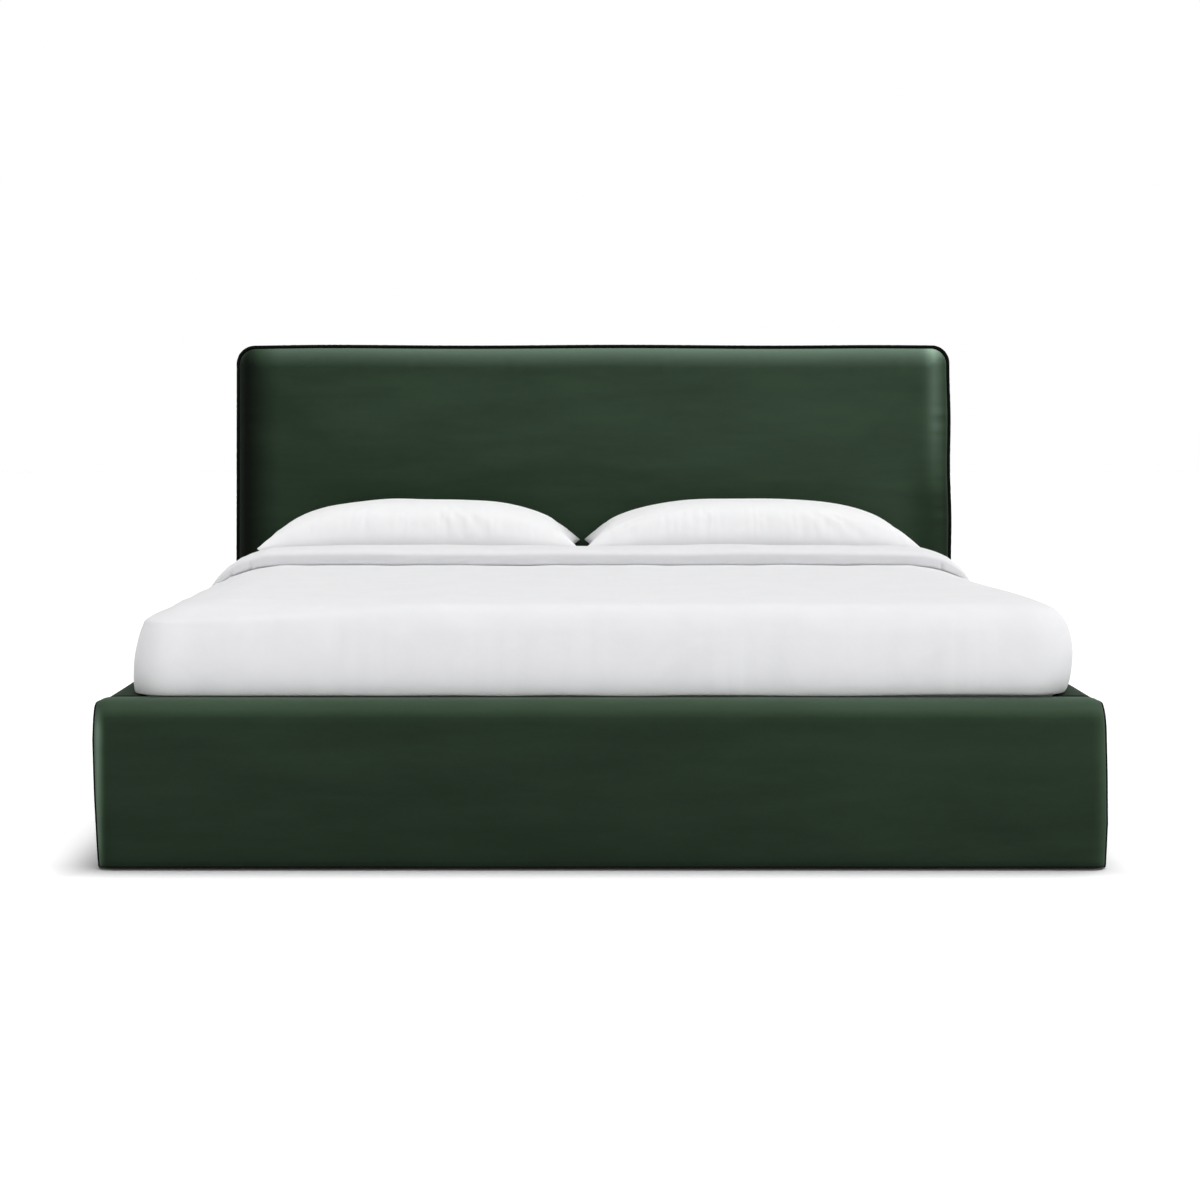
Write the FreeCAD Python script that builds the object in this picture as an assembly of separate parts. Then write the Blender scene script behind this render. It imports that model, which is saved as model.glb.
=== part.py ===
import FreeCAD, Part
import math
import os

from FreeCAD import Vector

# A king bed: padded velvet headboard and rails round a slatted timber base, with its mattress and bedding.
# Millimetres, +Z up, the foot of the bed towards -Y and the headboard towards +Y. Left and right are as
# seen from the foot of the bed, so right is +X. The origin is on the floor, in the middle of the bed.

# Mattress and bedding
mattress_width = 1930.0
mattress_length = 2032.0
mattress_height = 254.0
mattress_corner_radius = 50.0
mattress_edge_radius = 24.0
ticking_thickness = 3.0
sheet_thickness = 1.0
sheet_drop = 225.0
duvet_clearance = 1.5
duvet_top_thickness = 36.0
duvet_side_thickness = 32.0
duvet_edge_radius = 50.0
duvet_tuck_depth = 60.0
duvet_tuck_clearance = 1.0
duvet_hem_radius = 13.0
duvet_rail_clearance = 2.0
cuff_width = 250.0
cuff_thickness = 45.0
cuff_overhang = 18.0
cuff_edge_radius = 70.0
cuff_side_drop = 120.0
cuff_hem_radius = 11.0
cuff_front_radius = 20.0
cuff_back_radius = 36.0
pillow_cuff_gap = 4.0
pillow_left_width = 900.0
pillow_right_width = 940.0
pillow_depth = 490.0
pillow_height = 202.0
pillow_edge_radius = 84.0
pillowcase_thickness = 2.0
pillow_spacing = 6.0
pillow_shift = -35.0
pillow_headboard_gap = 10.0
pillow_sheet_gap = 1.0

# Rails and headboard, outside sizes
mattress_gap = 10.0
rail_thickness = 90.0
rail_top = 356.0
rail_edge_radius = 36.0
rail_inner_radius = 20.0
rail_corner_radius = 30.0
bottom_edge_radius = 6.0
floor_gap = 12.0
headboard_height = 1155.0
headboard_thickness = 110.0
headboard_corner_radius = 48.0
headboard_edge_radius = 38.0
headboard_back_radius = 8.0
seam_depth = 42.0
welt_radius = 5.0

# Upholstery layers and timber
cover_thickness = 2.0
rail_cap_foam = 28.0
rail_end_foam = 24.0
headboard_edge_foam = 12.0
rail_board_thickness = 36.0
front_panel_thickness = 12.0
back_panel_thickness = 4.0
post_width = 70.0
post_depth = 45.0
cross_rail_height = 90.0
middle_rail_height = 560.0
bottom_rail_height = 60.0
slat_count = 12
slat_width = 100.0
slat_thickness = 19.0
slat_end_gap = 3.0
slat_top = 258.0
ledger_width = 30.0
ledger_height = 40.0
crossbar_thickness = 36.0
crossbar_height = 140.0
crossbar_setback = 10.0
beam_width = 45.0
beam_height = 90.0

# Legs, glides and hardware
leg_count = 3
leg_radius = 25.0
foot_pad_radius = 22.0
foot_pad_height = 10.0
foot_stem_radius = 5.0
foot_stem_length = 50.0
foot_stem_clearance = 0.05
foot_stop_gap = 0.3
foot_socket_spare = 5.0
glide_radius = 16.0
glide_nail_radius = 2.0
glide_nail_length = 22.0
glide_inset = 90.0
bracket_leg = 60.0
bracket_height = 110.0
bracket_thickness = 4.0
bracket_bottom = 75.0
bracket_bolt_share = 0.6
saddle_drop = 28.0
saddle_share = 0.6
bolt_radius = 4.0
bolt_length = 28.0
bolt_head_radius = 7.0
bolt_head_height = 5.0
bolt_hole_clearance = 0.3
screw_radius = 2.25
screw_head_radius = 4.5
screw_head_height = 3.0
screw_length = 36.0
hook_thickness = 5.0
hook_height = 150.0
hook_bottom = 110.0
hook_in_rail = 70.0
hook_size = 44.0
hook_notch = 15.0
hook_nose = 16.0
hook_end_margin = 8.0
hook_clearance = 0.5
hook_room_ahead = 2.0
receiver_thickness = 4.0
receiver_width = 34.0
receiver_margin = 20.0

# Places worked out from the sizes above
inner_half = mattress_width / 2 + mattress_gap
outer_half = inner_half + rail_thickness
bed_length = headboard_thickness + 2 * mattress_gap + mattress_length + rail_thickness
foot_front = -bed_length / 2
foot_back = foot_front + rail_thickness
head_back = bed_length / 2
head_front = head_back - headboard_thickness
mattress_foot = foot_back + mattress_gap
mattress_head = mattress_foot + mattress_length
mattress_top = slat_top + mattress_height
slat_bottom = slat_top - slat_thickness
cover_bottom = floor_gap + cover_thickness
rail_board_top = rail_top - cover_thickness - rail_cap_foam
rail_board_inner = inner_half + cover_thickness
rail_board_outer = rail_board_inner + rail_board_thickness
foot_board_back = foot_back - cover_thickness
foot_board_front = foot_board_back - rail_board_thickness
foot_board_half = outer_half - cover_thickness - rail_end_foam
headboard_half = outer_half - welt_radius
headboard_top = headboard_height - welt_radius
seam_y = head_front + seam_depth
core_half = headboard_half - cover_thickness - headboard_edge_foam
core_top = headboard_top - cover_thickness - headboard_edge_foam
core_corner_radius = headboard_corner_radius - cover_thickness - headboard_edge_foam
back_panel_front = head_back - cover_thickness - back_panel_thickness
post_front = back_panel_front - post_depth
panel_front = post_front - front_panel_thickness
hook_x = (rail_board_inner + rail_board_outer) / 2
post_inner = min(core_half - post_width, hook_x - receiver_width / 2)
crossbar_back = head_front - crossbar_setback
crossbar_front = crossbar_back - crossbar_thickness
beam_bottom = slat_bottom - beam_height
duvet_inset = -(sheet_thickness + duvet_clearance)


def point(plane, u, v, w):
    """A point at u, v in the named plane, at distance w along the plane's normal axis."""
    if plane == "XY":
        return Vector(u, v, w)
    if plane == "XZ":
        return Vector(u, w, v)
    return Vector(w, u, v)


def prism(plane, corners, radii, start, end):
    """Extrudes a polygon with rounded corners from start to end along the plane's normal axis."""
    count = len(corners)
    arrivals = []
    departures = []
    middles = []
    for index in range(count):
        here = Vector(*corners[index], 0)
        to_last = (Vector(*corners[index - 1], 0) - here).normalize()
        to_next = (Vector(*corners[(index + 1) % count], 0) - here).normalize()
        half_angle = to_last.getAngle(to_next) / 2
        radius = radii[index]
        reach = radius / math.tan(half_angle)
        arrivals.append(here + to_last * reach)
        departures.append(here + to_next * reach)
        inward = (to_last + to_next).normalize()
        middles.append(here + inward * (radius / math.sin(half_angle) - radius))
    edges = []
    for index in range(count):
        place = [point(plane, p.x, p.y, start) for p in (arrivals[index], middles[index], departures[index])]
        if radii[index] > 0:
            edges.append(Part.Arc(*place).toShape())
        following = arrivals[(index + 1) % count]
        line_end = point(plane, following.x, following.y, start)
        if place[2].distanceToPoint(line_end) > 1e-6:
            edges.append(Part.LineSegment(place[2], line_end).toShape())
    face = Part.Face(Part.Wire(edges))
    return face.extrude(point(plane, 0, 0, end - start))


def rectangle(u0, u1, v0, v1):
    return [(u0, v0), (u1, v0), (u1, v1), (u0, v1)]


def rounded_block(low, high, xy_radii, xz_radii, yz_radii):
    """A box whose edges are rounded as each of its three outlines says, corner by corner."""
    plan = prism("XY", rectangle(low.x, high.x, low.y, high.y), xy_radii, low.z, high.z)
    front = prism("XZ", rectangle(low.x, high.x, low.z, high.z), xz_radii, low.y, high.y)
    side = prism("YZ", rectangle(low.y, high.y, low.z, high.z), yz_radii, low.x, high.x)
    return plan.common(front).common(side)


def box(x0, x1, y0, y1, z0, z1):
    return Part.makeBox(x1 - x0, y1 - y0, z1 - z0, Vector(x0, y0, z0))


def rod(radius, length, base, direction):
    return Part.makeCylinder(radius, length, base, direction)


def mirrored(shape):
    """The same piece on the other side of the bed."""
    return shape.mirror(Vector(0, 0, 0), Vector(1, 0, 0))


def both_sides(shape):
    return [shape, mirrored(shape)]


def cut_all(shape, tools):
    """Takes away only the tools that reach into the shape."""
    near = [tool for tool in tools if tool.BoundBox.intersect(shape.BoundBox)]
    return shape.cut(near) if near else shape


def bolt(head_place, direction):
    """A pan-head bolt whose head rests on head_place and whose shank runs along direction."""
    shank = rod(bolt_radius, bolt_length, head_place, direction)
    head_top = head_place - direction * bolt_head_height
    head = rod(bolt_head_radius, bolt_head_height, head_top, direction)
    return shank.fuse(head).removeSplitter()


def bolt_clearance(head_place, direction):
    """The hole that a bolt passes through, in a bracket and in the cover behind it."""
    reach = bracket_thickness + cover_thickness
    return rod(bolt_radius + bolt_hole_clearance, reach, head_place, direction)


# ---- Fasteners and the holes that they need ----


def bracket_bolt_places():
    """Head place and direction of each bolt through the angle brackets and the beam brackets."""
    places = []
    for height in (bracket_bottom + bracket_height * 0.25, bracket_bottom + bracket_height * 0.75):
        across = inner_half - bracket_leg * bracket_bolt_share
        side_face = inner_half - bracket_thickness
        foot_face = foot_back + bracket_thickness
        bar_face = crossbar_front - bracket_thickness
        near_foot = foot_back + bracket_leg * bracket_bolt_share
        near_head = crossbar_front - bracket_leg * bracket_bolt_share
        for side in (1, -1):
            places.append((Vector(side * side_face, near_foot, height), Vector(side, 0, 0)))
            places.append((Vector(side * across, foot_face, height), Vector(0, -1, 0)))
            places.append((Vector(side * side_face, near_head, height), Vector(side, 0, 0)))
            places.append((Vector(side * across, bar_face, height), Vector(0, 1, 0)))
    beam_bolt_z = beam_bottom - bracket_thickness - saddle_drop / 2
    places.append((Vector(0, foot_back + bracket_thickness, beam_bolt_z), Vector(0, -1, 0)))
    places.append((Vector(0, crossbar_front - bracket_thickness, beam_bolt_z), Vector(0, 1, 0)))
    return places


def slat_centres():
    first = mattress_foot + slat_width / 2
    last = mattress_head - slat_width / 2
    pitch = (last - first) / (slat_count - 1)
    return [first + pitch * index for index in range(slat_count)]


def slat_screw_list():
    """Three countersunk screws in each slat: into the ledgers and the beam, or into the head crossbar."""
    screws = []
    for y in slat_centres():
        if y + slat_width / 2 > crossbar_front:
            y = (crossbar_front + crossbar_back) / 2
        for x in (0.0, inner_half - ledger_width / 2, ledger_width / 2 - inner_half):
            shank_base = Vector(x, y, slat_top - screw_length)
            shank = rod(screw_radius, screw_length - screw_head_height, shank_base, Vector(0, 0, 1))
            head_base = Vector(x, y, slat_top - screw_head_height)
            head = Part.makeCone(screw_radius, screw_head_radius, screw_head_height, head_base)
            screws.append(shank.fuse(head).removeSplitter())
    return screws


def leg_places():
    start = foot_back
    pitch = (crossbar_front - start) / (leg_count + 1)
    return [start + pitch * (index + 1) for index in range(leg_count)]


def leg_bolt_list():
    """A hanger bolt from each centre leg up into the beam."""
    half = bolt_length
    return [rod(bolt_radius, 2 * half, Vector(0, y, beam_bottom - half), Vector(0, 0, 1)) for y in leg_places()]


def hook_pin_list():
    """Two pins through each side rail's board hold its hook plate."""
    pins = []
    for height in (hook_bottom + hook_height * 0.25, hook_bottom + hook_height * 0.75):
        y = head_front - hook_in_rail / 2
        pin = rod(bolt_radius, rail_board_thickness, Vector(rail_board_inner, y, height), Vector(1, 0, 0))
        pins += both_sides(pin)
    return pins


def glide_places():
    """Where the nail-on glides go: under the headboard posts, the side rails and the foot rail."""
    post_x = (post_inner + core_half) / 2
    post_y = post_front + post_depth / 2
    foot_y = (foot_board_front + foot_board_back) / 2
    near_foot = foot_back + glide_inset
    near_head = head_front - glide_inset
    places = [(0.0, foot_y)]
    for side in (1, -1):
        places.append((side * post_x, post_y))
        places.append((side * hook_x, near_foot))
        places.append((side * hook_x, near_head))
        places.append((side * (foot_board_half - glide_inset), foot_y))
    return places


def glide_list():
    glides = []
    for x, y in glide_places():
        disc = rod(glide_radius, floor_gap, Vector(x, y, 0), Vector(0, 0, 1))
        nail = rod(glide_nail_radius, glide_nail_length, Vector(x, y, floor_gap), Vector(0, 0, 1))
        glides.append(disc.fuse(nail).removeSplitter())
    return glides


bolts = [bolt(*place) for place in bracket_bolt_places()]
bolt_holes = [bolt_clearance(*place) for place in bracket_bolt_places()]
hook_pins = hook_pin_list()
leg_bolts = leg_bolt_list()
screws = slat_screw_list()
glides = glide_list()


# ---- Headboard ----


def headboard_block(inset):
    """The headboard's padded outline, brought in by inset on every face."""
    half = headboard_half - inset
    low = Vector(-half, head_front + inset, floor_gap + inset)
    high = Vector(half, head_back - inset, headboard_top - inset)
    corner = headboard_corner_radius - inset
    edge = headboard_edge_radius - inset
    back = headboard_back_radius - inset
    return rounded_block(low, high, [edge, edge, back, back], [0, 0, corner, corner], [0, 0, back, edge])


def headboard_core(y0, y1):
    """A slice of the headboard's timber core, with its rounded top corners."""
    outline = rectangle(-core_half, core_half, cover_bottom, core_top)
    return prism("XZ", outline, [0, 0, core_corner_radius, core_corner_radius], y0, y1)


def welt():
    """The piping cord: up one side of the headboard, round the corners, along the top and down the other side."""
    arc_centre_x = headboard_half - headboard_corner_radius
    arc_centre_z = headboard_top - headboard_corner_radius
    diagonal = headboard_corner_radius * math.sqrt(0.5)

    def at(x, z):
        return Vector(x, seam_y, z)

    right_arc = Part.Arc(
        at(headboard_half, arc_centre_z),
        at(arc_centre_x + diagonal, arc_centre_z + diagonal),
        at(arc_centre_x, headboard_top),
    )
    left_arc = Part.Arc(
        at(-arc_centre_x, headboard_top),
        at(-arc_centre_x - diagonal, arc_centre_z + diagonal),
        at(-headboard_half, arc_centre_z),
    )
    path = Part.Wire([
        Part.LineSegment(at(headboard_half, floor_gap), at(headboard_half, arc_centre_z)).toShape(),
        right_arc.toShape(),
        Part.LineSegment(at(arc_centre_x, headboard_top), at(-arc_centre_x, headboard_top)).toShape(),
        left_arc.toShape(),
        Part.LineSegment(at(-headboard_half, arc_centre_z), at(-headboard_half, floor_gap)).toShape(),
    ])
    start_circle = Part.Circle(at(headboard_half, floor_gap), Vector(0, 0, 1), welt_radius)
    section = Part.Wire(start_circle.toShape())
    return path.makePipeShell([section], True, False)


def hook_levels():
    """The lower edge of each of the two hooks on a hook plate."""
    return [hook_bottom + hook_end_margin, hook_bottom + hook_height - hook_size - hook_end_margin]


def rail_hook():
    """A steel plate in the end of a side rail's board, with two hooks that drop behind the receiver plate."""
    x0 = hook_x - hook_thickness / 2
    x1 = hook_x + hook_thickness / 2
    plate = box(x0, x1, head_front - hook_in_rail, head_front, hook_bottom, hook_bottom + hook_height)
    nose_end = post_front + receiver_thickness + hook_nose
    for level in hook_levels():
        hook = box(x0, x1, head_front, nose_end, level, level + hook_size)
        notch_end = post_front + receiver_thickness + hook_clearance
        notch = box(x0, x1, post_front - hook_clearance, notch_end, level, level + hook_notch)
        plate = plate.fuse(hook.cut(notch))
    plate = plate.removeSplitter()
    return cut_all(plate, hook_pins)


def hook_slots(y0, y1, drop):
    """The slots that the hooks pass through, between y0 and y1, open drop below each hook."""
    half = hook_thickness / 2 + hook_clearance
    slots = []
    for level in hook_levels():
        slots.append(box(hook_x - half, hook_x + half, y0, y1, level - drop, level + hook_size + hook_notch))
    return slots


def hook_receiver():
    """The slotted plate let into the headboard post: each hook's notch rests on its slot's lower edge."""
    x0 = hook_x - receiver_width / 2
    x1 = hook_x + receiver_width / 2
    bottom = hook_bottom - receiver_margin
    top = hook_bottom + hook_height + receiver_margin
    plate = box(x0, x1, post_front, post_front + receiver_thickness, bottom, top)
    return plate.cut(hook_slots(post_front, post_front + receiver_thickness, -hook_notch))


def make_headboard():
    parts = {}
    hook_way = hook_slots(head_front, post_front, hook_clearance)
    hook_way += [mirrored(slot) for slot in hook_way]
    piping = welt()
    shell = headboard_block(0).cut(headboard_block(cover_thickness))
    reach = outer_half + 1.0
    ahead_of_seam = box(-reach, reach, head_front - 1, seam_y, 0, headboard_height + 1)
    behind = head_back - headboard_back_radius
    border_zone = box(-reach, reach, seam_y, behind, 0, headboard_height + 1)
    back_zone = box(-reach, reach, behind, head_back + 1, 0, headboard_height + 1)
    front = shell.common(ahead_of_seam)
    border = shell.common(border_zone)
    parts["headboard_front_cover"] = front.cut([piping] + hook_way)
    parts["headboard_border_cover"] = cut_all(border.cut(piping), glides)
    parts["headboard_back_cover"] = shell.common(back_zone)
    parts["headboard_piping"] = piping
    core_block = headboard_core(panel_front, back_panel_front + back_panel_thickness)
    foam = headboard_block(cover_thickness).cut([core_block, piping] + hook_way)
    parts["headboard_foam"] = foam
    panel = headboard_core(panel_front, post_front)
    parts["headboard_front_panel"] = panel.cut(hook_way)
    parts["headboard_back_panel"] = headboard_core(back_panel_front, back_panel_front + back_panel_thickness)
    frame_zone = headboard_core(post_front, back_panel_front)
    receiver = hook_receiver()
    hook_room_end = post_front + receiver_thickness + hook_nose + hook_room_ahead
    hook_room = hook_slots(post_front, hook_room_end, hook_room_ahead)
    post = frame_zone.common(box(post_inner, core_half, post_front, back_panel_front, 0, headboard_height))
    post = cut_all(post.cut([receiver] + hook_room), glides)
    parts["headboard_post_right"] = post
    parts["headboard_post_left"] = mirrored(post)
    rail_spans = {
        "headboard_top_rail": (core_top - cross_rail_height, core_top),
        "headboard_middle_rail": (middle_rail_height, middle_rail_height + cross_rail_height),
        "headboard_bottom_rail": (bottom_rail_height, bottom_rail_height + cross_rail_height),
    }
    for name, (low, high) in rail_spans.items():
        parts[name] = box(-post_inner, post_inner, post_front, back_panel_front, low, high)
    parts["hook_receivers"] = Part.makeCompound(both_sides(receiver))
    return parts


# ---- Side rails and foot rail ----


def side_rail_block(inset):
    """The right-hand side rail's padded section, brought in by inset, along its whole length."""
    outline = rectangle(inner_half + inset, outer_half - inset, floor_gap + inset, rail_top - inset)
    radii = [0, bottom_edge_radius - inset, rail_edge_radius - inset, rail_inner_radius - inset]
    return prism("XZ", outline, radii, foot_back, head_front)


def foot_rail_block(inset):
    """The foot rail's padded outline, brought in by inset on every face."""
    low = Vector(-outer_half + inset, foot_front + inset, floor_gap + inset)
    high = Vector(outer_half - inset, foot_back - inset, rail_top - inset)
    corner = rail_corner_radius - inset
    edge = rail_edge_radius - inset
    inner = rail_inner_radius - inset
    bottom = bottom_edge_radius - inset
    return rounded_block(low, high, [corner, corner, 0, 0], [0, 0, edge, edge], [bottom, 0, inner, edge])


def make_rails():
    parts = {}
    fastening = bolts + hook_pins + glides
    board = box(rail_board_inner, rail_board_outer, foot_back, head_front, cover_bottom, rail_board_top)
    foam = side_rail_block(cover_thickness).cut(board)
    cover = side_rail_block(0).cut(side_rail_block(cover_thickness))
    hook = rail_hook()
    right_board = cut_all(board.cut(hook), fastening)
    right_cover = cut_all(cover, bolt_holes + glides)
    for side, turn in (("right", lambda shape: shape), ("left", mirrored)):
        parts["side_rail_board_" + side] = turn(right_board)
        parts["side_rail_foam_" + side] = turn(foam)
        parts["side_rail_cover_" + side] = turn(right_cover)
        parts["rail_hook_" + side] = turn(hook)
    foot_board = box(
        -foot_board_half, foot_board_half, foot_board_front, foot_board_back, cover_bottom, rail_board_top
    )
    foot_inner = foot_rail_block(cover_thickness)
    parts["foot_rail_board"] = cut_all(foot_board, fastening)
    parts["foot_rail_foam"] = foot_inner.cut(foot_board)
    parts["foot_rail_cover"] = cut_all(foot_rail_block(0).cut(foot_inner), bolt_holes + glides)
    return parts


# ---- Slatted base ----


def angle_bracket():
    """The right-hand foot corner's angle bracket."""
    top = bracket_bottom + bracket_height
    along = box(
        inner_half - bracket_thickness, inner_half, foot_back, foot_back + bracket_leg, bracket_bottom, top
    )
    across = box(
        inner_half - bracket_leg, inner_half, foot_back, foot_back + bracket_thickness, bracket_bottom, top
    )
    return along.fuse(across).removeSplitter()


def turned_to_head(shape):
    """A piece at the foot rail's inner face, moved to face the other way at the crossbar."""
    middle = (foot_back + crossbar_front) / 2
    return shape.mirror(Vector(0, middle, 0), Vector(0, 1, 0))


def beam_bracket():
    """A saddle on the foot rail that the centre beam's end sits in."""
    half = beam_width / 2 + bracket_thickness
    bottom = beam_bottom - bracket_thickness
    plate_bottom = bottom - saddle_drop
    plate = box(-half, half, foot_back, foot_back + bracket_thickness, plate_bottom, slat_bottom)
    cradle = box(-half, half, foot_back, foot_back + bracket_leg, bottom, beam_bottom + beam_height * saddle_share)
    seat = box(
        -beam_width / 2, beam_width / 2, foot_back + bracket_thickness, foot_back + bracket_leg,
        beam_bottom, slat_bottom
    )
    return plate.fuse(cradle).cut(seat).removeSplitter()


def make_base():
    parts = {}
    ledger = box(
        inner_half - ledger_width, inner_half, foot_back, crossbar_front, slat_bottom - ledger_height, slat_bottom
    )
    right_ledger = cut_all(ledger, screws)
    parts["slat_ledger_right"] = right_ledger
    parts["slat_ledger_left"] = mirrored(right_ledger)
    crossbar = box(
        -inner_half, inner_half, crossbar_front, crossbar_back, slat_bottom - crossbar_height, slat_bottom
    )
    parts["head_crossbar"] = cut_all(crossbar, bolts + screws)
    beam_start = foot_back + bracket_thickness
    beam_end = crossbar_front - bracket_thickness
    beam = box(-beam_width / 2, beam_width / 2, beam_start, beam_end, beam_bottom, slat_bottom)
    parts["centre_beam"] = cut_all(beam, screws + leg_bolts)
    foot_corners = both_sides(cut_all(angle_bracket(), bolt_holes))
    corners = foot_corners + [turned_to_head(bracket) for bracket in foot_corners]
    parts["corner_brackets"] = Part.makeCompound(corners)
    saddle = cut_all(beam_bracket(), bolt_holes)
    parts["beam_brackets"] = Part.makeCompound([saddle, turned_to_head(saddle)])
    half = inner_half - slat_end_gap
    for index, y in enumerate(slat_centres()):
        slat = box(-half, half, y - slat_width / 2, y + slat_width / 2, slat_bottom, slat_top)
        parts["slat_%02d" % (index + 1)] = cut_all(slat, screws)
    parts["slat_screws"] = Part.makeCompound(screws)
    parts["frame_bolts"] = Part.makeCompound(bolts + hook_pins + leg_bolts)
    parts["glides"] = Part.makeCompound(glides)
    return parts


def make_legs():
    parts = {}
    leg_bottom = foot_pad_height + foot_stop_gap
    for index, y in enumerate(leg_places()):
        leg = rod(leg_radius, beam_bottom - leg_bottom, Vector(0, y, leg_bottom), Vector(0, 0, 1))
        socket_depth = foot_pad_height + foot_stem_length + foot_socket_spare - leg_bottom
        socket_radius = foot_stem_radius + foot_stem_clearance
        socket = rod(socket_radius, socket_depth, Vector(0, y, leg_bottom), Vector(0, 0, 1))
        parts["centre_leg_%d" % (index + 1)] = cut_all(leg.cut(socket), leg_bolts)
        pad = rod(foot_pad_radius, foot_pad_height, Vector(0, y, 0), Vector(0, 0, 1))
        stem = rod(foot_stem_radius, foot_stem_length, Vector(0, y, foot_pad_height), Vector(0, 0, 1))
        parts["levelling_foot_%d" % (index + 1)] = pad.fuse(stem).removeSplitter()
    return parts


# ---- Mattress and bedding ----


def edges_at_height(shape, height):
    return [edge for edge in shape.Edges if edge.BoundBox.ZLength < 1e-6 and abs(edge.BoundBox.ZMin - height) < 1e-6]


def mattress_block(inset, bottom, bottom_radius):
    """The mattress outline brought in by inset, down to the given bottom, or grown by a negative inset."""
    half = mattress_width / 2 - inset
    top = mattress_top - inset
    outline = rectangle(-half, half, mattress_foot + inset, mattress_head - inset)
    block = prism("XY", outline, [mattress_corner_radius - inset] * 4, bottom, top)
    block = block.makeFillet(mattress_edge_radius - inset, edges_at_height(block, top))
    if bottom_radius > 0:
        block = block.makeFillet(bottom_radius, edges_at_height(block, bottom))
    return block


def duvet():
    """The duvet: flat on top, rounded over both sides and the foot, tucked inside the rails, folded back at the head."""
    fold = pillow_front() - pillow_cuff_gap
    base = rail_top + duvet_rail_clearance
    tuck_bottom = max(rail_top - duvet_tuck_depth, slat_top + duvet_clearance)
    outset = duvet_side_thickness - duvet_inset
    half = mattress_width / 2 + outset
    front = mattress_foot - outset
    top = mattress_top - duvet_inset + duvet_top_thickness
    edge = duvet_edge_radius
    corner = mattress_corner_radius + outset
    lip = duvet_hem_radius
    body = rounded_block(
        Vector(-half, front, base), Vector(half, fold, top),
        [corner, corner, 0, 0], [lip, lip, edge, edge], [lip, 0, 0, edge]
    )
    tuck_half = inner_half - duvet_tuck_clearance
    tuck_front = foot_back + duvet_tuck_clearance
    tuck = prism(
        "XY", rectangle(-tuck_half, tuck_half, tuck_front, fold),
        [mattress_corner_radius, mattress_corner_radius, 0, 0], tuck_bottom, base + lip
    )
    cuff_half = half + cuff_overhang
    cuff_top = top + cuff_thickness
    cuff_bottom = top - cuff_side_drop
    cuff_outline = [cuff_hem_radius, cuff_hem_radius, cuff_edge_radius, cuff_edge_radius]
    cuff = rounded_block(
        Vector(-cuff_half, fold - cuff_width, cuff_bottom), Vector(cuff_half, fold, cuff_top),
        [0, 0, 0, 0], cuff_outline, [0, 0, cuff_back_radius, cuff_front_radius]
    )
    room = mattress_block(duvet_inset, slat_top, 0)
    return body.fuse([tuck, cuff]).cut(room).removeSplitter()


def pillow_front():
    return head_front - pillow_headboard_gap - pillow_depth


def pillow_block(x0, x1, inset):
    base = mattress_top + sheet_thickness + pillow_sheet_gap
    low = Vector(x0 + inset, pillow_front() + inset, base + inset)
    high = Vector(x1 - inset, head_front - pillow_headboard_gap - inset, base + pillow_height - inset)
    radii = [pillow_edge_radius - inset] * 4
    return rounded_block(low, high, radii, radii, radii)


def make_bedding():
    parts = {}
    ticking = mattress_block(0, slat_top, mattress_edge_radius)
    core = mattress_block(
        ticking_thickness, slat_top + ticking_thickness, mattress_edge_radius - ticking_thickness
    )
    parts["mattress_core"] = core
    parts["mattress_cover"] = ticking.cut(core)
    hem = mattress_top - sheet_drop
    parts["fitted_sheet"] = mattress_block(-sheet_thickness, hem, 0).cut(ticking)
    parts["duvet"] = duvet()
    spans = {
        "left": (pillow_shift - pillow_spacing / 2 - pillow_left_width, pillow_shift - pillow_spacing / 2),
        "right": (pillow_shift + pillow_spacing / 2, pillow_shift + pillow_spacing / 2 + pillow_right_width),
    }
    for side, (x0, x1) in spans.items():
        filling = pillow_block(x0, x1, pillowcase_thickness)
        parts["pillow_" + side] = filling
        parts["pillowcase_" + side] = pillow_block(x0, x1, 0).cut(filling)
    return parts


os.makedirs("parts", exist_ok=True)
for make in (make_headboard, make_rails, make_base, make_legs, make_bedding):
    for name, shape in make().items():
        shape.exportStep("parts/" + name + ".step")
        print(name, len(shape.Solids), "solids", round(shape.Volume / 1e6, 3), "litres", shape.isValid())
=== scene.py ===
import math
import bmesh
import bpy
import numpy as np
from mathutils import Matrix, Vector


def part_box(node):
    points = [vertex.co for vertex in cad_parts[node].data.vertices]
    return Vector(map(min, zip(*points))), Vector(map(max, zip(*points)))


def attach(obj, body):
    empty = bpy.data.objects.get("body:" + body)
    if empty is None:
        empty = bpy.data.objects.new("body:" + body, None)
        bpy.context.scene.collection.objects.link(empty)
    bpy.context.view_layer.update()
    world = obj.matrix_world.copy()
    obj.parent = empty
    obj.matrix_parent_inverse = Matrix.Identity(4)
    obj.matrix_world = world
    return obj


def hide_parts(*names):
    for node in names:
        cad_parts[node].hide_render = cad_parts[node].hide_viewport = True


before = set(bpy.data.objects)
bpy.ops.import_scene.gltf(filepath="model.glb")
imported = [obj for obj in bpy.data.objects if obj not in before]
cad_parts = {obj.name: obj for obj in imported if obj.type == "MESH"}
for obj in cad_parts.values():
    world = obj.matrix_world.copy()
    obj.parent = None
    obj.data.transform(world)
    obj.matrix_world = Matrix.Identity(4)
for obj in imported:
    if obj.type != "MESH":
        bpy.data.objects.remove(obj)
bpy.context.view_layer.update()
print("bed: CAD frame loaded,", len(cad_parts), "nodes")

mm = 0.001
scene = bpy.context.scene


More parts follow.
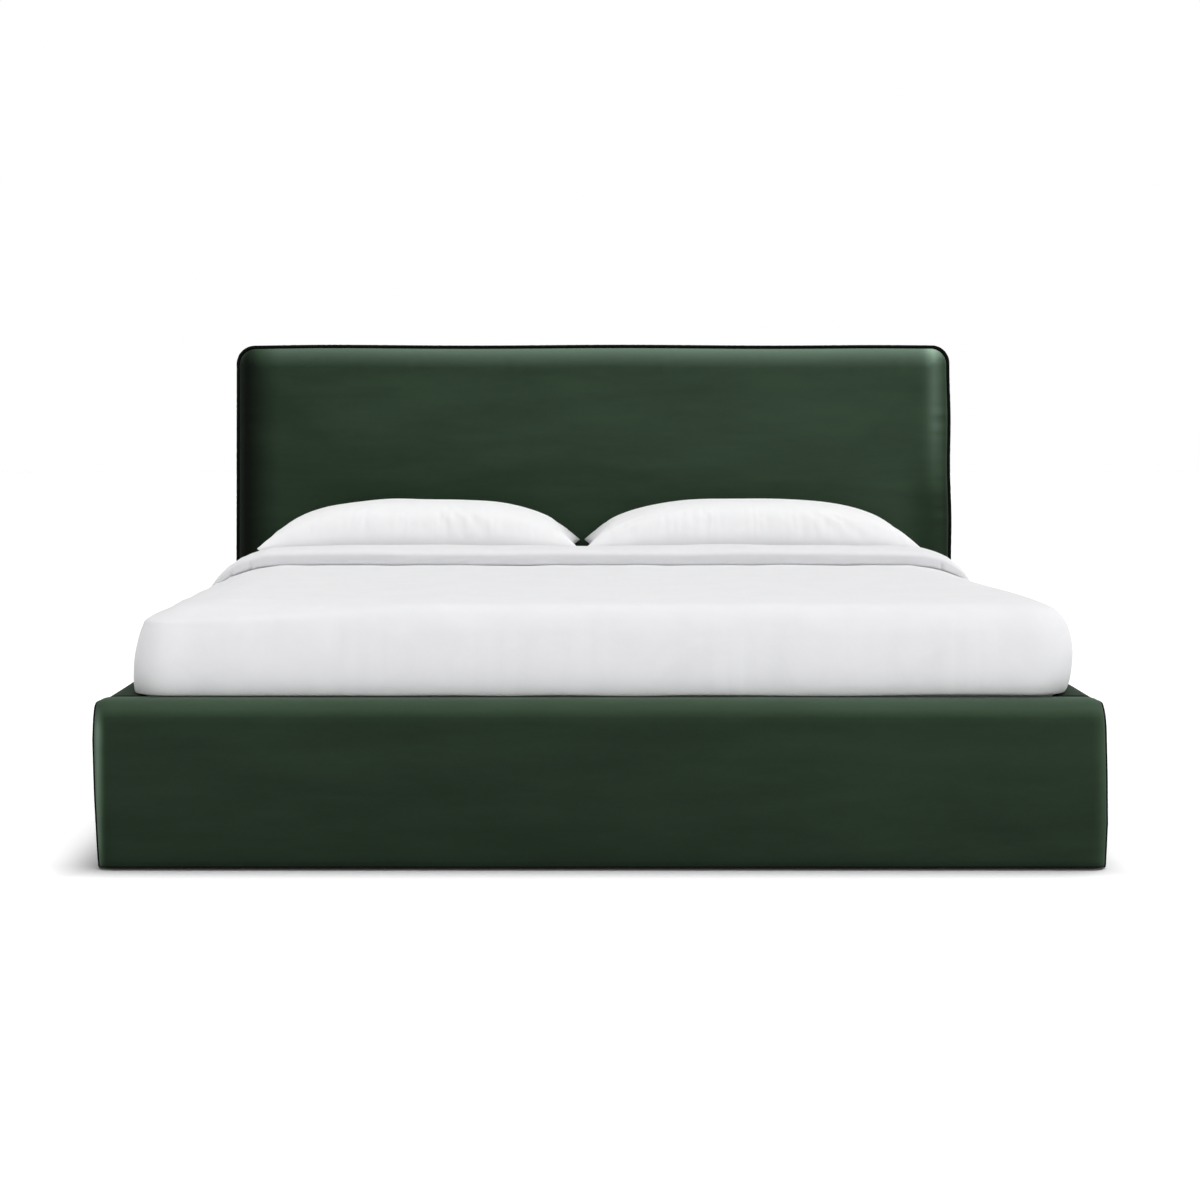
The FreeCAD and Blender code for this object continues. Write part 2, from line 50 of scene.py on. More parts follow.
def colour(text):
    # sRGB hex to linear: below 0.04045 divide by 12.92, above it ((c + 0.055) / 1.055) to the power 2.4
    channels = [int(text[place:place + 2], 16) / 255.0 for place in (1, 3, 5)]
    linear = [c / 12.92 if c <= 0.04045 else ((c + 0.055) / 1.055) ** 2.4 for c in channels]
    return (*linear, 1.0)


def add(tree, kind, settings=None, inputs=None):
    # a node with its settings, and its inputs either linked from a socket or set to a value
    node = tree.nodes.new("ShaderNode" + kind)
    for name, value in (settings or {}).items():
        setattr(node, name, value)
    for key, value in (inputs or {}).items():
        if isinstance(value, bpy.types.NodeSocket):
            tree.links.new(value, node.inputs[key])
        else:
            node.inputs[key].default_value = value
    return node


def newMaterial(name, shader):
    # an empty node material: its tree, its Principled shader with these socket values, and Object coordinates
    material = bpy.data.materials.new(name)
    material.use_nodes = True
    tree = material.node_tree
    tree.nodes.clear()
    principled = add(tree, "BsdfPrincipled", {}, shader)
    add(tree, "OutputMaterial", {}, {"Surface": principled.outputs[0]})
    place = add(tree, "TexCoord").outputs["Object"]
    return material, tree, principled, place


def setRamp(ramp, *ends):
    # the two ends of a colour ramp, each as a position and a hex colour
    for element, (position, text) in zip(ramp.color_ramp.elements, ends):
        element.position = position
        element.color = colour(text)


def velvet(name, dark, light, sheen):
    # cut-pile polyester velvet in brushed streaks, made lighter or darker by the piece's own attribute of
    # painted light and shade, which is set from each point's normal and place
    shader = {"Roughness": 0.88, "Sheen Weight": sheen, "Sheen Roughness": 0.38,
              "Sheen Tint": colour("#c3d6c6"), "Specular IOR Level": 0.12}
    material, tree, principled, place = newMaterial(name, shader)
    # brushed streaks are about 300 mm long and 60 mm tall
    long = add(tree, "Mapping", {}, {"Vector": place, "Scale": (0.45, 0.8, 2.2)})
    patch = add(tree, "TexNoise", {}, {"Vector": long.outputs[0], "Scale": 6.5, "Detail": 5.0,
                                       "Roughness": 0.6})
    # pile tufts are 0.4 mm; drawn 3 mm coarse so that they show
    tuft = add(tree, "TexNoise", {}, {"Vector": place, "Scale": 330.0, "Detail": 3.0, "Roughness": 0.7})
    amount = add(tree, "Math", {"operation": "MULTIPLY_ADD"}, {0: tuft.outputs[0], 1: 0.24, 2: -0.12})
    share = add(tree, "Math", {"operation": "ADD"}, {0: patch.outputs[0], 1: amount.outputs[0]})
    ramp = add(tree, "ValToRGB", {}, {"Fac": share.outputs[0]})
    setRamp(ramp, (0.25, dark), (0.78, light))
    paintedLightAndShade = add(tree, "Attribute", {"attribute_name": "paintedLightAndShade"})
    # painted shade: up to 1 the attribute scales the base colour down; painted highlight: beyond 1 it adds a
    # greyer colour
    sides = add(tree, "Math", {"operation": "MINIMUM"}, {0: paintedLightAndShade.outputs["Fac"], 1: 1.0})
    highlightShare = add(tree, "Math", {"operation": "SUBTRACT"}, {0: paintedLightAndShade.outputs["Fac"], 1: sides.outputs[0]})
    shadedBase = add(tree, "VectorMath", {"operation": "SCALE"}, {0: ramp.outputs[0], "Scale": sides.outputs[0]})
    lit = add(tree, "VectorMath", {"operation": "MULTIPLY_ADD"}, {0: colour("#333d36")[:3],
                                                                  1: highlightShare.outputs[0], 2: shadedBase.outputs[0]})
    tree.links.new(lit.outputs[0], principled.inputs["Base Color"])
    height = add(tree, "Math", {"operation": "MULTIPLY_ADD"},
                 {0: patch.outputs[0], 1: 0.25, 2: tuft.outputs[0]})
    bump = add(tree, "Bump", {}, {"Strength": 0.28, "Distance": 0.6 * mm, "Height": height.outputs[0]})
    tree.links.new(bump.outputs[0], principled.inputs["Normal"])
    return material


def weave(name, base, thread, roughness, creases, seeThrough=0.0):
    # woven or knitted cloth, its threads as crossing wave patterns, with soft ironed-in creases
    shader = {"Roughness": roughness, "Sheen Weight": 0.12, "Sheen Roughness": 0.5,
              "Specular IOR Level": 0.22, "Subsurface Weight": seeThrough,
              "Subsurface Radius": (1.0, 1.0, 1.0), "Subsurface Scale": 0.025}
    material, tree, principled, place = newMaterial(name, shader)
    scale = 1.0 / (thread * mm * 2.0 * math.pi) * 3.0
    wave = {"Vector": place, "Scale": scale, "Distortion": 0.6}
    warp, weft, rise = (add(tree, "TexWave", {"bands_direction": axis}, wave) for axis in "XYZ")
    crossing = add(tree, "Math", {"operation": "MULTIPLY"}, {0: warp.outputs[1], 1: weft.outputs[1]})
    threads = add(tree, "Math", {"operation": "ADD"}, {0: crossing.outputs[0], 1: rise.outputs[1]})
    crease = add(tree, "TexNoise", {}, {"Vector": place, "Scale": 11.0, "Detail": 5.0, "Distortion": 0.8})
    fine = add(tree, "Bump", {}, {"Strength": 0.12, "Distance": 0.15 * mm, "Height": threads.outputs[0]})
    soft = add(tree, "Bump", {}, {"Strength": 0.35, "Distance": creases * mm, "Height": crease.outputs[0],
                                  "Normal": fine.outputs[0]})
    tree.links.new(soft.outputs[0], principled.inputs["Normal"])
    # the colour is also darkened by up to 3% in the crease hollows: painted shade
    shade = add(tree, "MapRange", {}, {"Value": crease.outputs[0], "From Min": 0.3, "From Max": 0.7,
                                       "To Min": 0.972, "To Max": 1.0})
    tint = add(tree, "Mix", {"data_type": "RGBA", "blend_type": "MULTIPLY"},
               {0: 1.0, 6: colour(base), 7: shade.outputs[0]})
    tree.links.new(tint.outputs[2], principled.inputs["Base Color"])
    return material


def timber(name, early, late, ring, axis):
    # planed softwood or hardwood: growth rings stretched along the piece's length, pores as fine streaks
    shader = {"Roughness": 0.62, "Specular IOR Level": 0.35}
    material, tree, principled, place = newMaterial(name, shader)
    stretch = [1.0, 1.0, 1.0]
    stretch[axis] = 0.04
    board = add(tree, "Mapping", {}, {"Vector": place, "Scale": stretch})
    wander = add(tree, "TexNoise", {}, {"Vector": board.outputs[0], "Scale": 14.0, "Detail": 3.0})
    rings = add(tree, "TexWave", {"wave_type": "RINGS", "rings_direction": "XYZ"[axis]},
                {"Vector": board.outputs[0], "Scale": 1.0 / (ring * mm * 6.3), "Distortion": 5.0,
                 "Detail": 2.0, "Detail Scale": 1.5})
    pores = add(tree, "TexNoise", {}, {"Vector": board.outputs[0], "Scale": 900.0, "Detail": 2.0})
    share = add(tree, "Math", {"operation": "MULTIPLY_ADD"},
                {0: pores.outputs[0], 1: 0.35, 2: rings.outputs[1]})
    both = add(tree, "Math", {"operation": "MULTIPLY_ADD"},
               {0: wander.outputs[0], 1: 0.5, 2: share.outputs[0]})
    ramp = add(tree, "ValToRGB", {}, {"Fac": both.outputs[0]})
    setRamp(ramp, (0.25, early), (1.0, late))
    tree.links.new(ramp.outputs[0], principled.inputs["Base Color"])
    bump = add(tree, "Bump", {}, {"Strength": 0.25, "Distance": 0.2 * mm, "Height": pores.outputs[0]})
    tree.links.new(bump.outputs[0], principled.inputs["Normal"])
    return material


def hardSurface(name, base, roughness, metallic, grit, depth):
    # powder-coated, plated or moulded part: a fine orange peel or tool grain, and a roughness that drifts
    shader = {"Base Color": colour(base), "Metallic": metallic}
    spread = 0.08
    material, tree, principled, place = newMaterial(name, shader)
    grain = add(tree, "TexNoise", {}, {"Vector": place, "Scale": 1.0 / (grit * mm), "Detail": 2.0})
    drift = add(tree, "TexNoise", {}, {"Vector": place, "Scale": 22.0, "Detail": 3.0})
    dull = add(tree, "MapRange", {}, {"Value": drift.outputs[0], "From Min": 0.3, "From Max": 0.7,
                                      "To Min": roughness - spread, "To Max": roughness + spread})
    tree.links.new(dull.outputs[0], principled.inputs["Roughness"])
    bump = add(tree, "Bump", {}, {"Strength": 0.4, "Distance": depth * mm, "Height": grain.outputs[0]})
    tree.links.new(bump.outputs[0], principled.inputs["Normal"])
    return material


bottleGreenVelvet = velvet("cut pile polyester velvet, bottle green", "#2a3b2b", "#344735", 0.10)
# the piping velvet is painted near-black with no sheen: painted shade along the seams and outlines
shadedPipingVelvet = velvet("piping velvet painted near-black as shade", "#040805", "#0c140d", 0.0)
dustCloth = weave("spunbonded polypropylene dust cloth", "#202325", 1.2, 0.9, 1.5)
duvetPercale = weave("washed cotton percale, duvet", "#ececee", 0.9, 0.86, 2.2, 0.35)
pillowPercale = weave("washed cotton percale, pillowcase", "#f9f9fb", 0.8, 0.84, 1.4, 0.42)
sheetPercale = weave("combed cotton sheet", "#ececee", 0.8, 0.88, 1.2)
mattressTick = weave("knitted mattress ticking", "#e4e2dc", 2.2, 0.85, 1.0)
fibreFilling = weave("polyester fibre filling", "#f2f2f0", 3.0, 0.95, 4.0)
cutFoam = hardSurface("cut polyurethane foam", "#d9d2b4", 0.9, 0.0, 1.6, 0.8)
pines = [timber("planed pine, grain along " + "XYZ"[axis], "#d9b888", "#b98f58", 3.2, axis)
         for axis in range(3)]
birchPly = timber("sanded birch plywood", "#d3b78a", "#b8976a", 9.0, 0)
turnedBeech = timber("turned and oiled beech", "#c99b6b", "#a87848", 1.8, 2)
blackPowder = hardSurface("black powder-coated steel", "#1c1d1f", 0.45, 0.0, 0.6, 0.05)
brightZinc = hardSurface("bright zinc-plated steel", "#c2c5c7", 0.30, 1.0, 0.4, 0.02)
blackNylon = hardSurface("moulded black nylon", "#17181a", 0.5, 0.0, 0.3, 0.02)
stapleWire = hardSurface("galvanised staple wire", "#a9acae", 0.35, 1.0, 0.3, 0.01)

finishOf = {
    "foam": cutFoam, "plywood": birchPly, "beech": turnedBeech, "steel": blackPowder, "zinc": brightZinc,
    "moulded_plastic": blackNylon, "mattress_filling": fibreFilling, "ticking": mattressTick,
    "sheet_cotton": sheetPercale, "duvet_cotton": duvetPercale, "pillow_filling": fibreFilling,
    "pillowcase_cotton": pillowPercale, "velvet": bottleGreenVelvet, "dust_cover": dustCloth,
}


def finishByName(name, size):
    # the finish of a CAD node, from what the node is; a board's grain runs along its longest side
    words = [("foam", "foam"), ("panel", "plywood"), ("centre_leg", "beech"), ("bracket", "steel"),
             ("hook", "steel"), ("bolts", "zinc"), ("screws", "zinc"), ("glides", "moulded_plastic"),
             ("levelling", "moulded_plastic"), ("mattress_core", "mattress_filling"),
             ("mattress_cover", "ticking"), ("pillowcase", "pillowcase_cotton"),
             ("pillow", "pillow_filling"), ("back_cover", "dust_cover"), ("cover", "velvet"),
             ("piping", "velvet"), ("sheet", "sheet_cotton"), ("duvet", "duvet_cotton")]
    for word, slot in words:
        if word in name:
            return finishOf[slot]
    return pines[int(np.argmax(size))]


for name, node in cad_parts.items():
    low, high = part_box(name)
    finish = finishByName(name, np.array(high) - np.array(low))
    node.data.materials.clear()
    node.data.materials.append(finish)
print("bed: finishes made and given to the CAD nodes")


def ease(start, end, x):
    # 0 before start, 1 after end, between them 3t^2 - 2t^3
    t = np.clip((x - start) / (end - start), 0.0, 1.0)
    return t * t * (3.0 - 2.0 * t)


def swell(points, size, seed):
    # soft hills about size across: the sum of seven sine waves in seeded directions
    rng = np.random.default_rng(seed)
    total = np.zeros(points.shape[:-1])
    for _ in range(7):
        direction = rng.normal(size=3)
        direction /= np.linalg.norm(direction)
        pitch = size * rng.uniform(0.7, 1.6)
        total += np.sin(points @ direction * (2.0 * math.pi / pitch) + rng.uniform(0.0, 2.0 * math.pi))
    return total / math.sqrt(7.0)


def gathers(along, pitch, seed):
    # uneven gathers: a sine wave whose phase and height wander along the seam
    wander = 1.9 * np.sin(along * 2.0 * math.pi / (pitch * 4.3) + seed)
    height = 0.55 + 0.45 * np.sin(along * 2.0 * math.pi / (pitch * 7.1) + 2.3 * seed)
    return height * np.sin(along * 2.0 * math.pi / pitch + wander)


def throughPoints(controls, samples):
    # Catmull-Rom curve through controls (..., count, k), read at samples from 0 to count - 1
    count = controls.shape[-2]
    first = 2.0 * controls[..., :1, :] - controls[..., 1:2, :]
    last = 2.0 * controls[..., -1:, :] - controls[..., -2:-1, :]
    padded = np.concatenate([first, controls, last], axis=-2)
    cell = np.minimum(samples.astype(int), count - 2)
    t = (samples - cell)[:, None]
    a, b, c, d = (padded[..., cell + shift, :] for shift in range(4))
    return 0.5 * (2.0 * b + (c - a) * t + (2.0 * a - 5.0 * b + 4.0 * c - d) * t ** 2
                  + (3.0 * b - a - 3.0 * c + d) * t ** 3)


def roundedLoop(low, high, radii, step):
    # a rectangle with its own radius at each corner, anticlockwise from low: points and outward normals
    corners = [(low[0], low[1]), (high[0], low[1]), (high[0], high[1]), (low[0], high[1])]
    inward = [(1, 1), (-1, 1), (-1, -1), (1, -1)]
    arcs, rings = [], []
    for index in range(4):
        start = math.pi * (1.0 + index / 2.0)
        turns = np.linspace(start, start + math.pi / 2.0, max(5, int(radii[index] * 1.6 / step) + 3))
        ring = np.stack([np.cos(turns), np.sin(turns)], axis=-1)
        arcs.append(np.array(corners[index]) + np.array(inward[index]) * radii[index] + radii[index] * ring)
        rings.append(ring)
    points, normals = [], []
    for index in range(4):
        begin, end = arcs[index][-1], arcs[(index + 1) % 4][0]
        count = max(1, int(np.linalg.norm(end - begin) / step))
        t = np.linspace(0.0, 1.0, count + 1)[1:-1, None]
        points += [arcs[index], begin + (end - begin) * t]
        normals += [rings[index], np.repeat(rings[index][-1:], len(t), axis=0)]
    return np.concatenate(points), np.concatenate(normals)


def openLoop(points):
    # running length along a line of points
    gaps = np.linalg.norm(np.diff(points, axis=0), axis=1)
    return np.concatenate([[0.0], np.cumsum(gaps)])


def gridFaces(rows, columns, first=0, wrapRows=False, wrapColumns=False):
    # four-sided faces of a rows by columns grid, joined round where it wraps
    r = np.arange(rows if wrapRows else rows - 1)
    c = np.arange(columns if wrapColumns else columns - 1)
    a, b = np.meshgrid(r, c, indexing="ij")
    nextRow, nextColumn = (a + 1) % rows, (b + 1) % columns
    quads = np.stack([a * columns + b, nextRow * columns + b,
                      nextRow * columns + nextColumn, a * columns + nextColumn], axis=-1)
    return (quads.reshape(-1, 4) + first).tolist()


def paintLightByNormal(piece, lean, strength):
    # painted light and shade by normal, kept as a point attribute: 1 where the normal is square to the lean,
    # lighter where it turns with the lean, darker where it turns against it
    mesh = piece.data
    normals = np.empty(len(mesh.vertices) * 3, dtype=np.float32)
    mesh.vertices.foreach_get("normal", normals)
    turn = normals.reshape(-1, 3) @ (np.array(lean) / np.linalg.norm(lean))
    paintedLightAndShade = np.where(turn > 0, 1.0 + strength * turn, np.maximum((1.0 + turn) ** 3.0, 0.06))
    mesh.attributes.new("paintedLightAndShade", "FLOAT", "POINT").data.foreach_set("value", paintedLightAndShade.astype(np.float32))


def scalePaintedLight(piece, share):
    # multiplies the painted light and shade by share, a function of the places of the points
    mesh = piece.data
    places = np.empty(len(mesh.vertices) * 3, dtype=np.float32)
    mesh.vertices.foreach_get("co", places)
    paintedLightAndShade = np.empty(len(mesh.vertices), dtype=np.float32)
    mesh.attributes["paintedLightAndShade"].data.foreach_get("value", paintedLightAndShade)
    paintedLightAndShade *= share(places.reshape(-1, 3))
    mesh.attributes["paintedLightAndShade"].data.foreach_set("value", paintedLightAndShade.astype(np.float32))


def makePiece(name, points, faces, body, material, outFrom=None):
    # a smooth mesh, doubles merged, its faces outwards: a closed shell by its signed volume, an open one
    # turned away from outFrom
    mesh = bpy.data.meshes.new(name)
    mesh.from_pydata(points.reshape(-1, 3).tolist(), [], faces)
    work = bmesh.new()
    work.from_mesh(mesh)
    bmesh.ops.remove_doubles(work, verts=work.verts, dist=0.00002)
    bmesh.ops.dissolve_degenerate(work, edges=work.edges, dist=0.00001)
    if outFrom is None:
        bmesh.ops.recalc_face_normals(work, faces=work.faces)
        if work.calc_volume(signed=True) < 0:
            bmesh.ops.reverse_faces(work, faces=work.faces)
    else:
        centre = Vector(outFrom)
        score = sum((f.calc_center_median() - centre).dot(f.normal) * f.calc_area() for f in work.faces)
        if score < 0:
            bmesh.ops.reverse_faces(work, faces=work.faces)
    work.to_mesh(mesh)
    work.free()
    mesh.shade_smooth()
    mesh.materials.append(material)
    piece = bpy.data.objects.new(name, mesh)
    scene.collection.objects.link(piece)
    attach(piece, body)
    # velvet and piping get painted light and shade from their normals: lighter on tops, darker on undersides
    if material is bottleGreenVelvet:
        paintLightByNormal(piece, (0.12, 0.0, 1.0), 3.4)
    elif material is shadedPipingVelvet:
        paintLightByNormal(piece, (0.0, 0.0, 1.0), 0.0)
    return piece


def tubeFaces(rows, columns, first=0):
    # faces of a tube of rows rings, each of columns points, with a cap at both ends
    last = first + (rows - 1) * columns
    caps = [list(range(start, start + columns)) for start in (first, last)]
    return gridFaces(rows, columns, first, wrapColumns=True) + caps


headboard = {"half": 1060 * mm, "top": 1150 * mm, "bottom": 5 * mm, "cornerRadius": 48 * mm,
             "seam": 1058 * mm, "rollWidth": 58 * mm, "rollDepth": 42 * mm, "crown": 6 * mm,
             "seamShort": 4 * mm, "back": 1126 * mm, "piping": 6 * mm, "hem": 24 * mm, "turnIn": 8 * mm}


def headWarp(x, z):
    # hand-made outline: towards the top the right side leans in 5 mm and the left 1 mm, and the top's ends
    # sag 2 mm
    h = headboard
    lean = ease(0.35, 1.15, z)
    right = ease(0.3, 1.0, x / h["half"])
    left = ease(0.3, 1.0, -x / h["half"])
    wave = 0.0014 * np.sin(z * 21.0 + 0.7) * right * ease(0.4, 0.6, z)
    newX = x - right * (0.005 * lean) + left * 0.001 * lean + wave
    ends = ease(0.76, 1.06, np.abs(x))
    newZ = z - ends * 0.002 * ease(0.9, 1.15, z) + 0.0012 * np.sin(x * 7.0 + 1.0) * ease(0.8, 1.15, z)
    return newX, newZ


def rollSamples(span, roll):
    # distances from 0 to span, close together where the edge rolls over and in 12 mm steps beyond it
    curve = roll * (1.0 - np.cos(np.linspace(0.0, math.pi / 2.0, 22)))
    rest = np.linspace(roll, span, max(2, int((span - roll) / 0.012)))[1:]
    return np.concatenate([curve, rest])


def headboardPaintedLight(spot):
    # painted shade beside the left piping, fading out over 140 mm, with a thin painted highlight 16 mm from
    # it; a painted highlight ridge 54 mm from the right piping that dies out downwards, painted shade beyond
    # it and low on the right, and the whole face a little lighter towards the right
    x, z = spot[:, 0], spot[:, 2]
    fromLeft, fromRight = x + headboard["half"], headboard["half"] - x
    dark = 0.22 + 0.78 * ease(0.015, 0.14, fromLeft) - 0.16 * (1.0 - ease(0.1, 0.6, fromLeft))
    dark += 0.14 * np.exp(-((fromLeft - 0.016) / 0.007) ** 2)
    highlightRidge = 1.35 * np.exp(-((fromRight - 0.054) / 0.020) ** 2) * (0.10 + 0.90 * ease(0.62, 1.05, z))
    highlightRidge -= 0.45 * (1.0 - ease(0.014, 0.036, fromRight))
    lowRightShade = 1.0 - 0.5 * ease(0.18, 0.04, fromRight) * ease(0.90, 0.66, z)
    return (dark + highlightRidge) * lowRightShade * (0.95 + 0.20 * ease(-0.8, 0.6, x))


def headboardFace():
    # front pad: a flat grid whose top corners are bent into quarter discs, rolled to the edge in a quarter
    # ellipse, crowned less where the mattress presses on it, and closed by a flat back skin
    h = headboard
    half, roll, radius = h["half"] - h["seamShort"], h["rollWidth"], h["cornerRadius"]
    top = h["top"] - h["seamShort"]
    side = rollSamples(half, roll)
    xs = np.concatenate([side - half, (half - side)[-2::-1]])
    height = top - h["bottom"]
    zs = top - rollSamples(height, roll)[::-1]
    x, z = np.meshgrid(xs, zs, indexing="ij")
    p = (np.abs(x) - (half - radius)) / radius
    q = (z - (top - radius)) / radius
    corner = (p > 0) & (q > 0)
    reach = np.maximum(p, q)
    small = np.minimum(p, q) / np.maximum(reach, 1e-9)
    turn = np.where(p >= q, small, 2.0 - small) * math.pi / 4.0
    newX = np.sign(x) * (half - radius + radius * reach * np.cos(turn))
    newZ = top - radius + radius * reach * np.sin(turn)
    edge = np.where(corner, radius * (1.0 - reach), np.minimum(half - np.abs(x), top - z))
    x, z = np.where(corner, newX, x), np.where(corner, newZ, z)
    t = np.clip(1.0 - edge / roll, 0.0, 1.0)
    depth = h["rollDepth"] * (1.0 - np.sqrt(np.clip(1.0 - t ** 2, 0.0, 1.0)))
    crown = h["crown"] * ease(0.0, 0.35, edge) * (1.0 - 0.75 * ease(0.58, 0.50, z))
    spot = np.stack([x, np.zeros_like(x), z], axis=-1)
    along = np.where(half - np.abs(x) < top - z, z, x)
    pucker = 0.0011 * gathers(along, 0.034, 1.0) * ease(0.0, 0.012, edge) * (1.0 - ease(0.02, 0.075, edge))
    waves = 0.0008 * swell(spot, 0.42, 3) * ease(0.04, 0.15, edge)
    y = h["seam"] - h["rollDepth"] + depth - crown + pucker - waves
    x, z = headWarp(x, z)
    front = np.stack([x, y, z], axis=-1)
    back = np.stack([x, np.full_like(y, h["seam"]), z], axis=-1)
    points = np.concatenate([back[:, ::-1], front], axis=1)
    piece = makePiece("headboardFront", points, gridFaces(*points.shape[:2]), "frame", bottleGreenVelvet)
    scalePaintedLight(piece, headboardPaintedLight)
    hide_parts("headboard_front_cover", "headboard_foam")


def headboardOutline(inset, step):
    # the headboard's edge from bottom left over the top to bottom right, with its outward normals
    h = headboard
    low, high = (-h["half"] + inset, h["bottom"]), (h["half"] - inset, h["top"] - inset)
    radius = max(h["cornerRadius"] - inset, 4 * mm)
    square = 0.0001
    points, normals = roundedLoop(low, high, (square, square, radius, radius), step)
    start = int(np.argmax((points[:, 0] > high[0] - 1e-6) & (normals[:, 0] > 0.99)))
    points, normals = np.roll(points, -start, axis=0), np.roll(normals, -start, axis=0)
    keep = normals[:, 1] > -0.01
    return points[keep][::-1], normals[keep][::-1]


def sweepOutline(name, line, normals, outwards, ys, material, wobble):
    # a strip carried along the outline: each point is line + normal * (outwards + wobble), at depth y
    out = outwards[None, :] + wobble
    x = line[:, None, 0] + normals[:, None, 0] * out
    z = line[:, None, 1] + normals[:, None, 1] * out
    x, z = headWarp(x, np.maximum(z, headboard["bottom"]))
    points = np.stack([x, np.broadcast_to(ys[None, :], x.shape), z], axis=-1)
    return makePiece(name, points, gridFaces(*x.shape), "frame", material, (0, 1.09, 0.6))


def headboardEdges():
    # piping: a tube along the seam; boxing: a strip from seam to back that puffs 2.5 mm and turns in behind
    h = headboard
    line, normals = headboardOutline(0.0, 0.008)
    length = openLoop(line)
    turns = np.linspace(0.0, 2.0 * math.pi, 13)[:-1]
    radius = h["piping"] * (1.0 + 0.05 * gathers(length, 0.021, 2.0))[:, None]
    x = line[:, None, 0] + normals[:, None, 0] * radius * np.cos(turns)
    z = line[:, None, 1] + normals[:, None, 1] * radius * np.cos(turns)
    y = h["seam"] + radius * np.sin(turns)
    x, z = headWarp(x, np.maximum(z, h["bottom"]))
    tube = np.stack([x, y, z], axis=-1)
    piping = makePiece("headboardPiping", tube, tubeFaces(*x.shape), "frame", shadedPipingVelvet)
    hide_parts("headboard_piping")
    across = np.linspace(0.0, 1.0, 15)
    turnIn = h["turnIn"]
    ys = h["seam"] + across * (h["back"] - turnIn - h["seam"])
    puff = 0.0025 * np.sin(math.pi * across)
    bend = np.linspace(0.0, math.pi / 2.0, 7)[1:]
    ys = np.concatenate([ys, h["back"] - turnIn + turnIn * np.sin(bend), np.full(5, h["back"])])
    outwards = np.concatenate([puff, turnIn * (np.cos(bend) - 1.0), -turnIn - np.linspace(0.004, 0.028, 5)])
    fade = np.concatenate([np.sin(math.pi * across), np.zeros(11)])
    wobble = 0.0007 * gathers(length, 0.06, 4.0)[:, None] * fade[None, :]
    border = sweepOutline("headboardBoxing", line, normals, outwards, ys, bottleGreenVelvet, wobble)
    wall = border.modifiers.new("velvet thickness", "SOLIDIFY")
    wall.thickness = 1.5 * mm
    wall.offset = -1.0
    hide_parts("headboard_border_cover")


def headboardBack():
    # dust cloth: a sheet 1 mm proud of the back with shallow slack waves; staples are bent wires at 60 mm
    h = headboard
    half, low, high = h["half"] - h["hem"], h["bottom"] + 3 * mm, h["top"] - h["hem"]
    x, z = np.meshgrid(np.linspace(-half, half, 180), np.linspace(low, high, 100), indexing="ij")
    edge = np.minimum(half - np.abs(x), np.minimum(z - low, high - z))
    spot = np.stack([x, 0 * x, z], axis=-1)
    slack = 0.0016 * (swell(spot, 0.16, 8) + swell(spot, 0.05, 9) * 0.3) * ease(0.01, 0.09, edge)
    y = h["back"] + 0.0012 + slack
    y += 0.0007 * gathers(x + z, 0.03, 1.0) * (1.0 - ease(0.01, 0.05, edge))
    y = np.maximum(y, h["back"] - 0.4 * mm)
    x, z = headWarp(x, z)
    lining = makePiece("headboardDustCloth", np.stack([x, y, z], axis=-1), gridFaces(*x.shape), "frame",
                       dustCloth, (0, 0, 0.6))
    wall = lining.modifiers.new("cloth thickness", "SOLIDIFY")
    wall.thickness = 0.4 * mm
    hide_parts("headboard_back_cover")
    line, normals = headboardOutline(0.034, 0.06)
    tangent = np.stack([-normals[:, 1], normals[:, 0]], axis=-1)
    bow = np.array([(-0.006, 0.0), (-0.006, 0.0012), (-0.0045, 0.0018), (0.0045, 0.0018), (0.006, 0.0012),
                    (0.006, 0.0)])
    ring = np.linspace(0.0, 2.0 * math.pi, 7)[:-1]
    centre = line[:, None, :] + tangent[:, None, :] * bow[None, :, :1]
    px = centre[:, :, None, 0] + normals[:, None, None, 0] * 0.0006 * np.cos(ring)
    pz = centre[:, :, None, 1] + normals[:, None, None, 1] * 0.0006 * np.cos(ring)
    py = h["back"] + 0.0018 + bow[None, :, None, 1] + 0.0005 * np.sin(ring)
    px, pz = headWarp(px, pz)
    points = np.stack([px, np.broadcast_to(py, px.shape), pz], axis=-1)
    faces = sum((tubeFaces(6, 6, index * 36) for index in range(len(line))), [])
    staples = makePiece("headboardStaples", points, faces, "frame", stapleWire)


headboardFace()
headboardEdges()
headboardBack()
print("bed: headboard upholstered")


rails = {"puff": 3 * mm, "endRoll": 34 * mm, "endInset": 24 * mm, "endDrop": 0.5, "capBulge": 3 * mm,
         "sidePaintedShade": 0.55, "topPaintedShade": 0.12, "hang": 7 * mm, "tuck": 4 * mm, "welt": 4 * mm}


def railPaintedShade(spot):
    # painted shade on the sides, and much more of it along the top
    return rails["sidePaintedShade"] + (rails["topPaintedShade"] - rails["sidePaintedShade"]) * ease(0.318, 0.352, spot[:, 2])


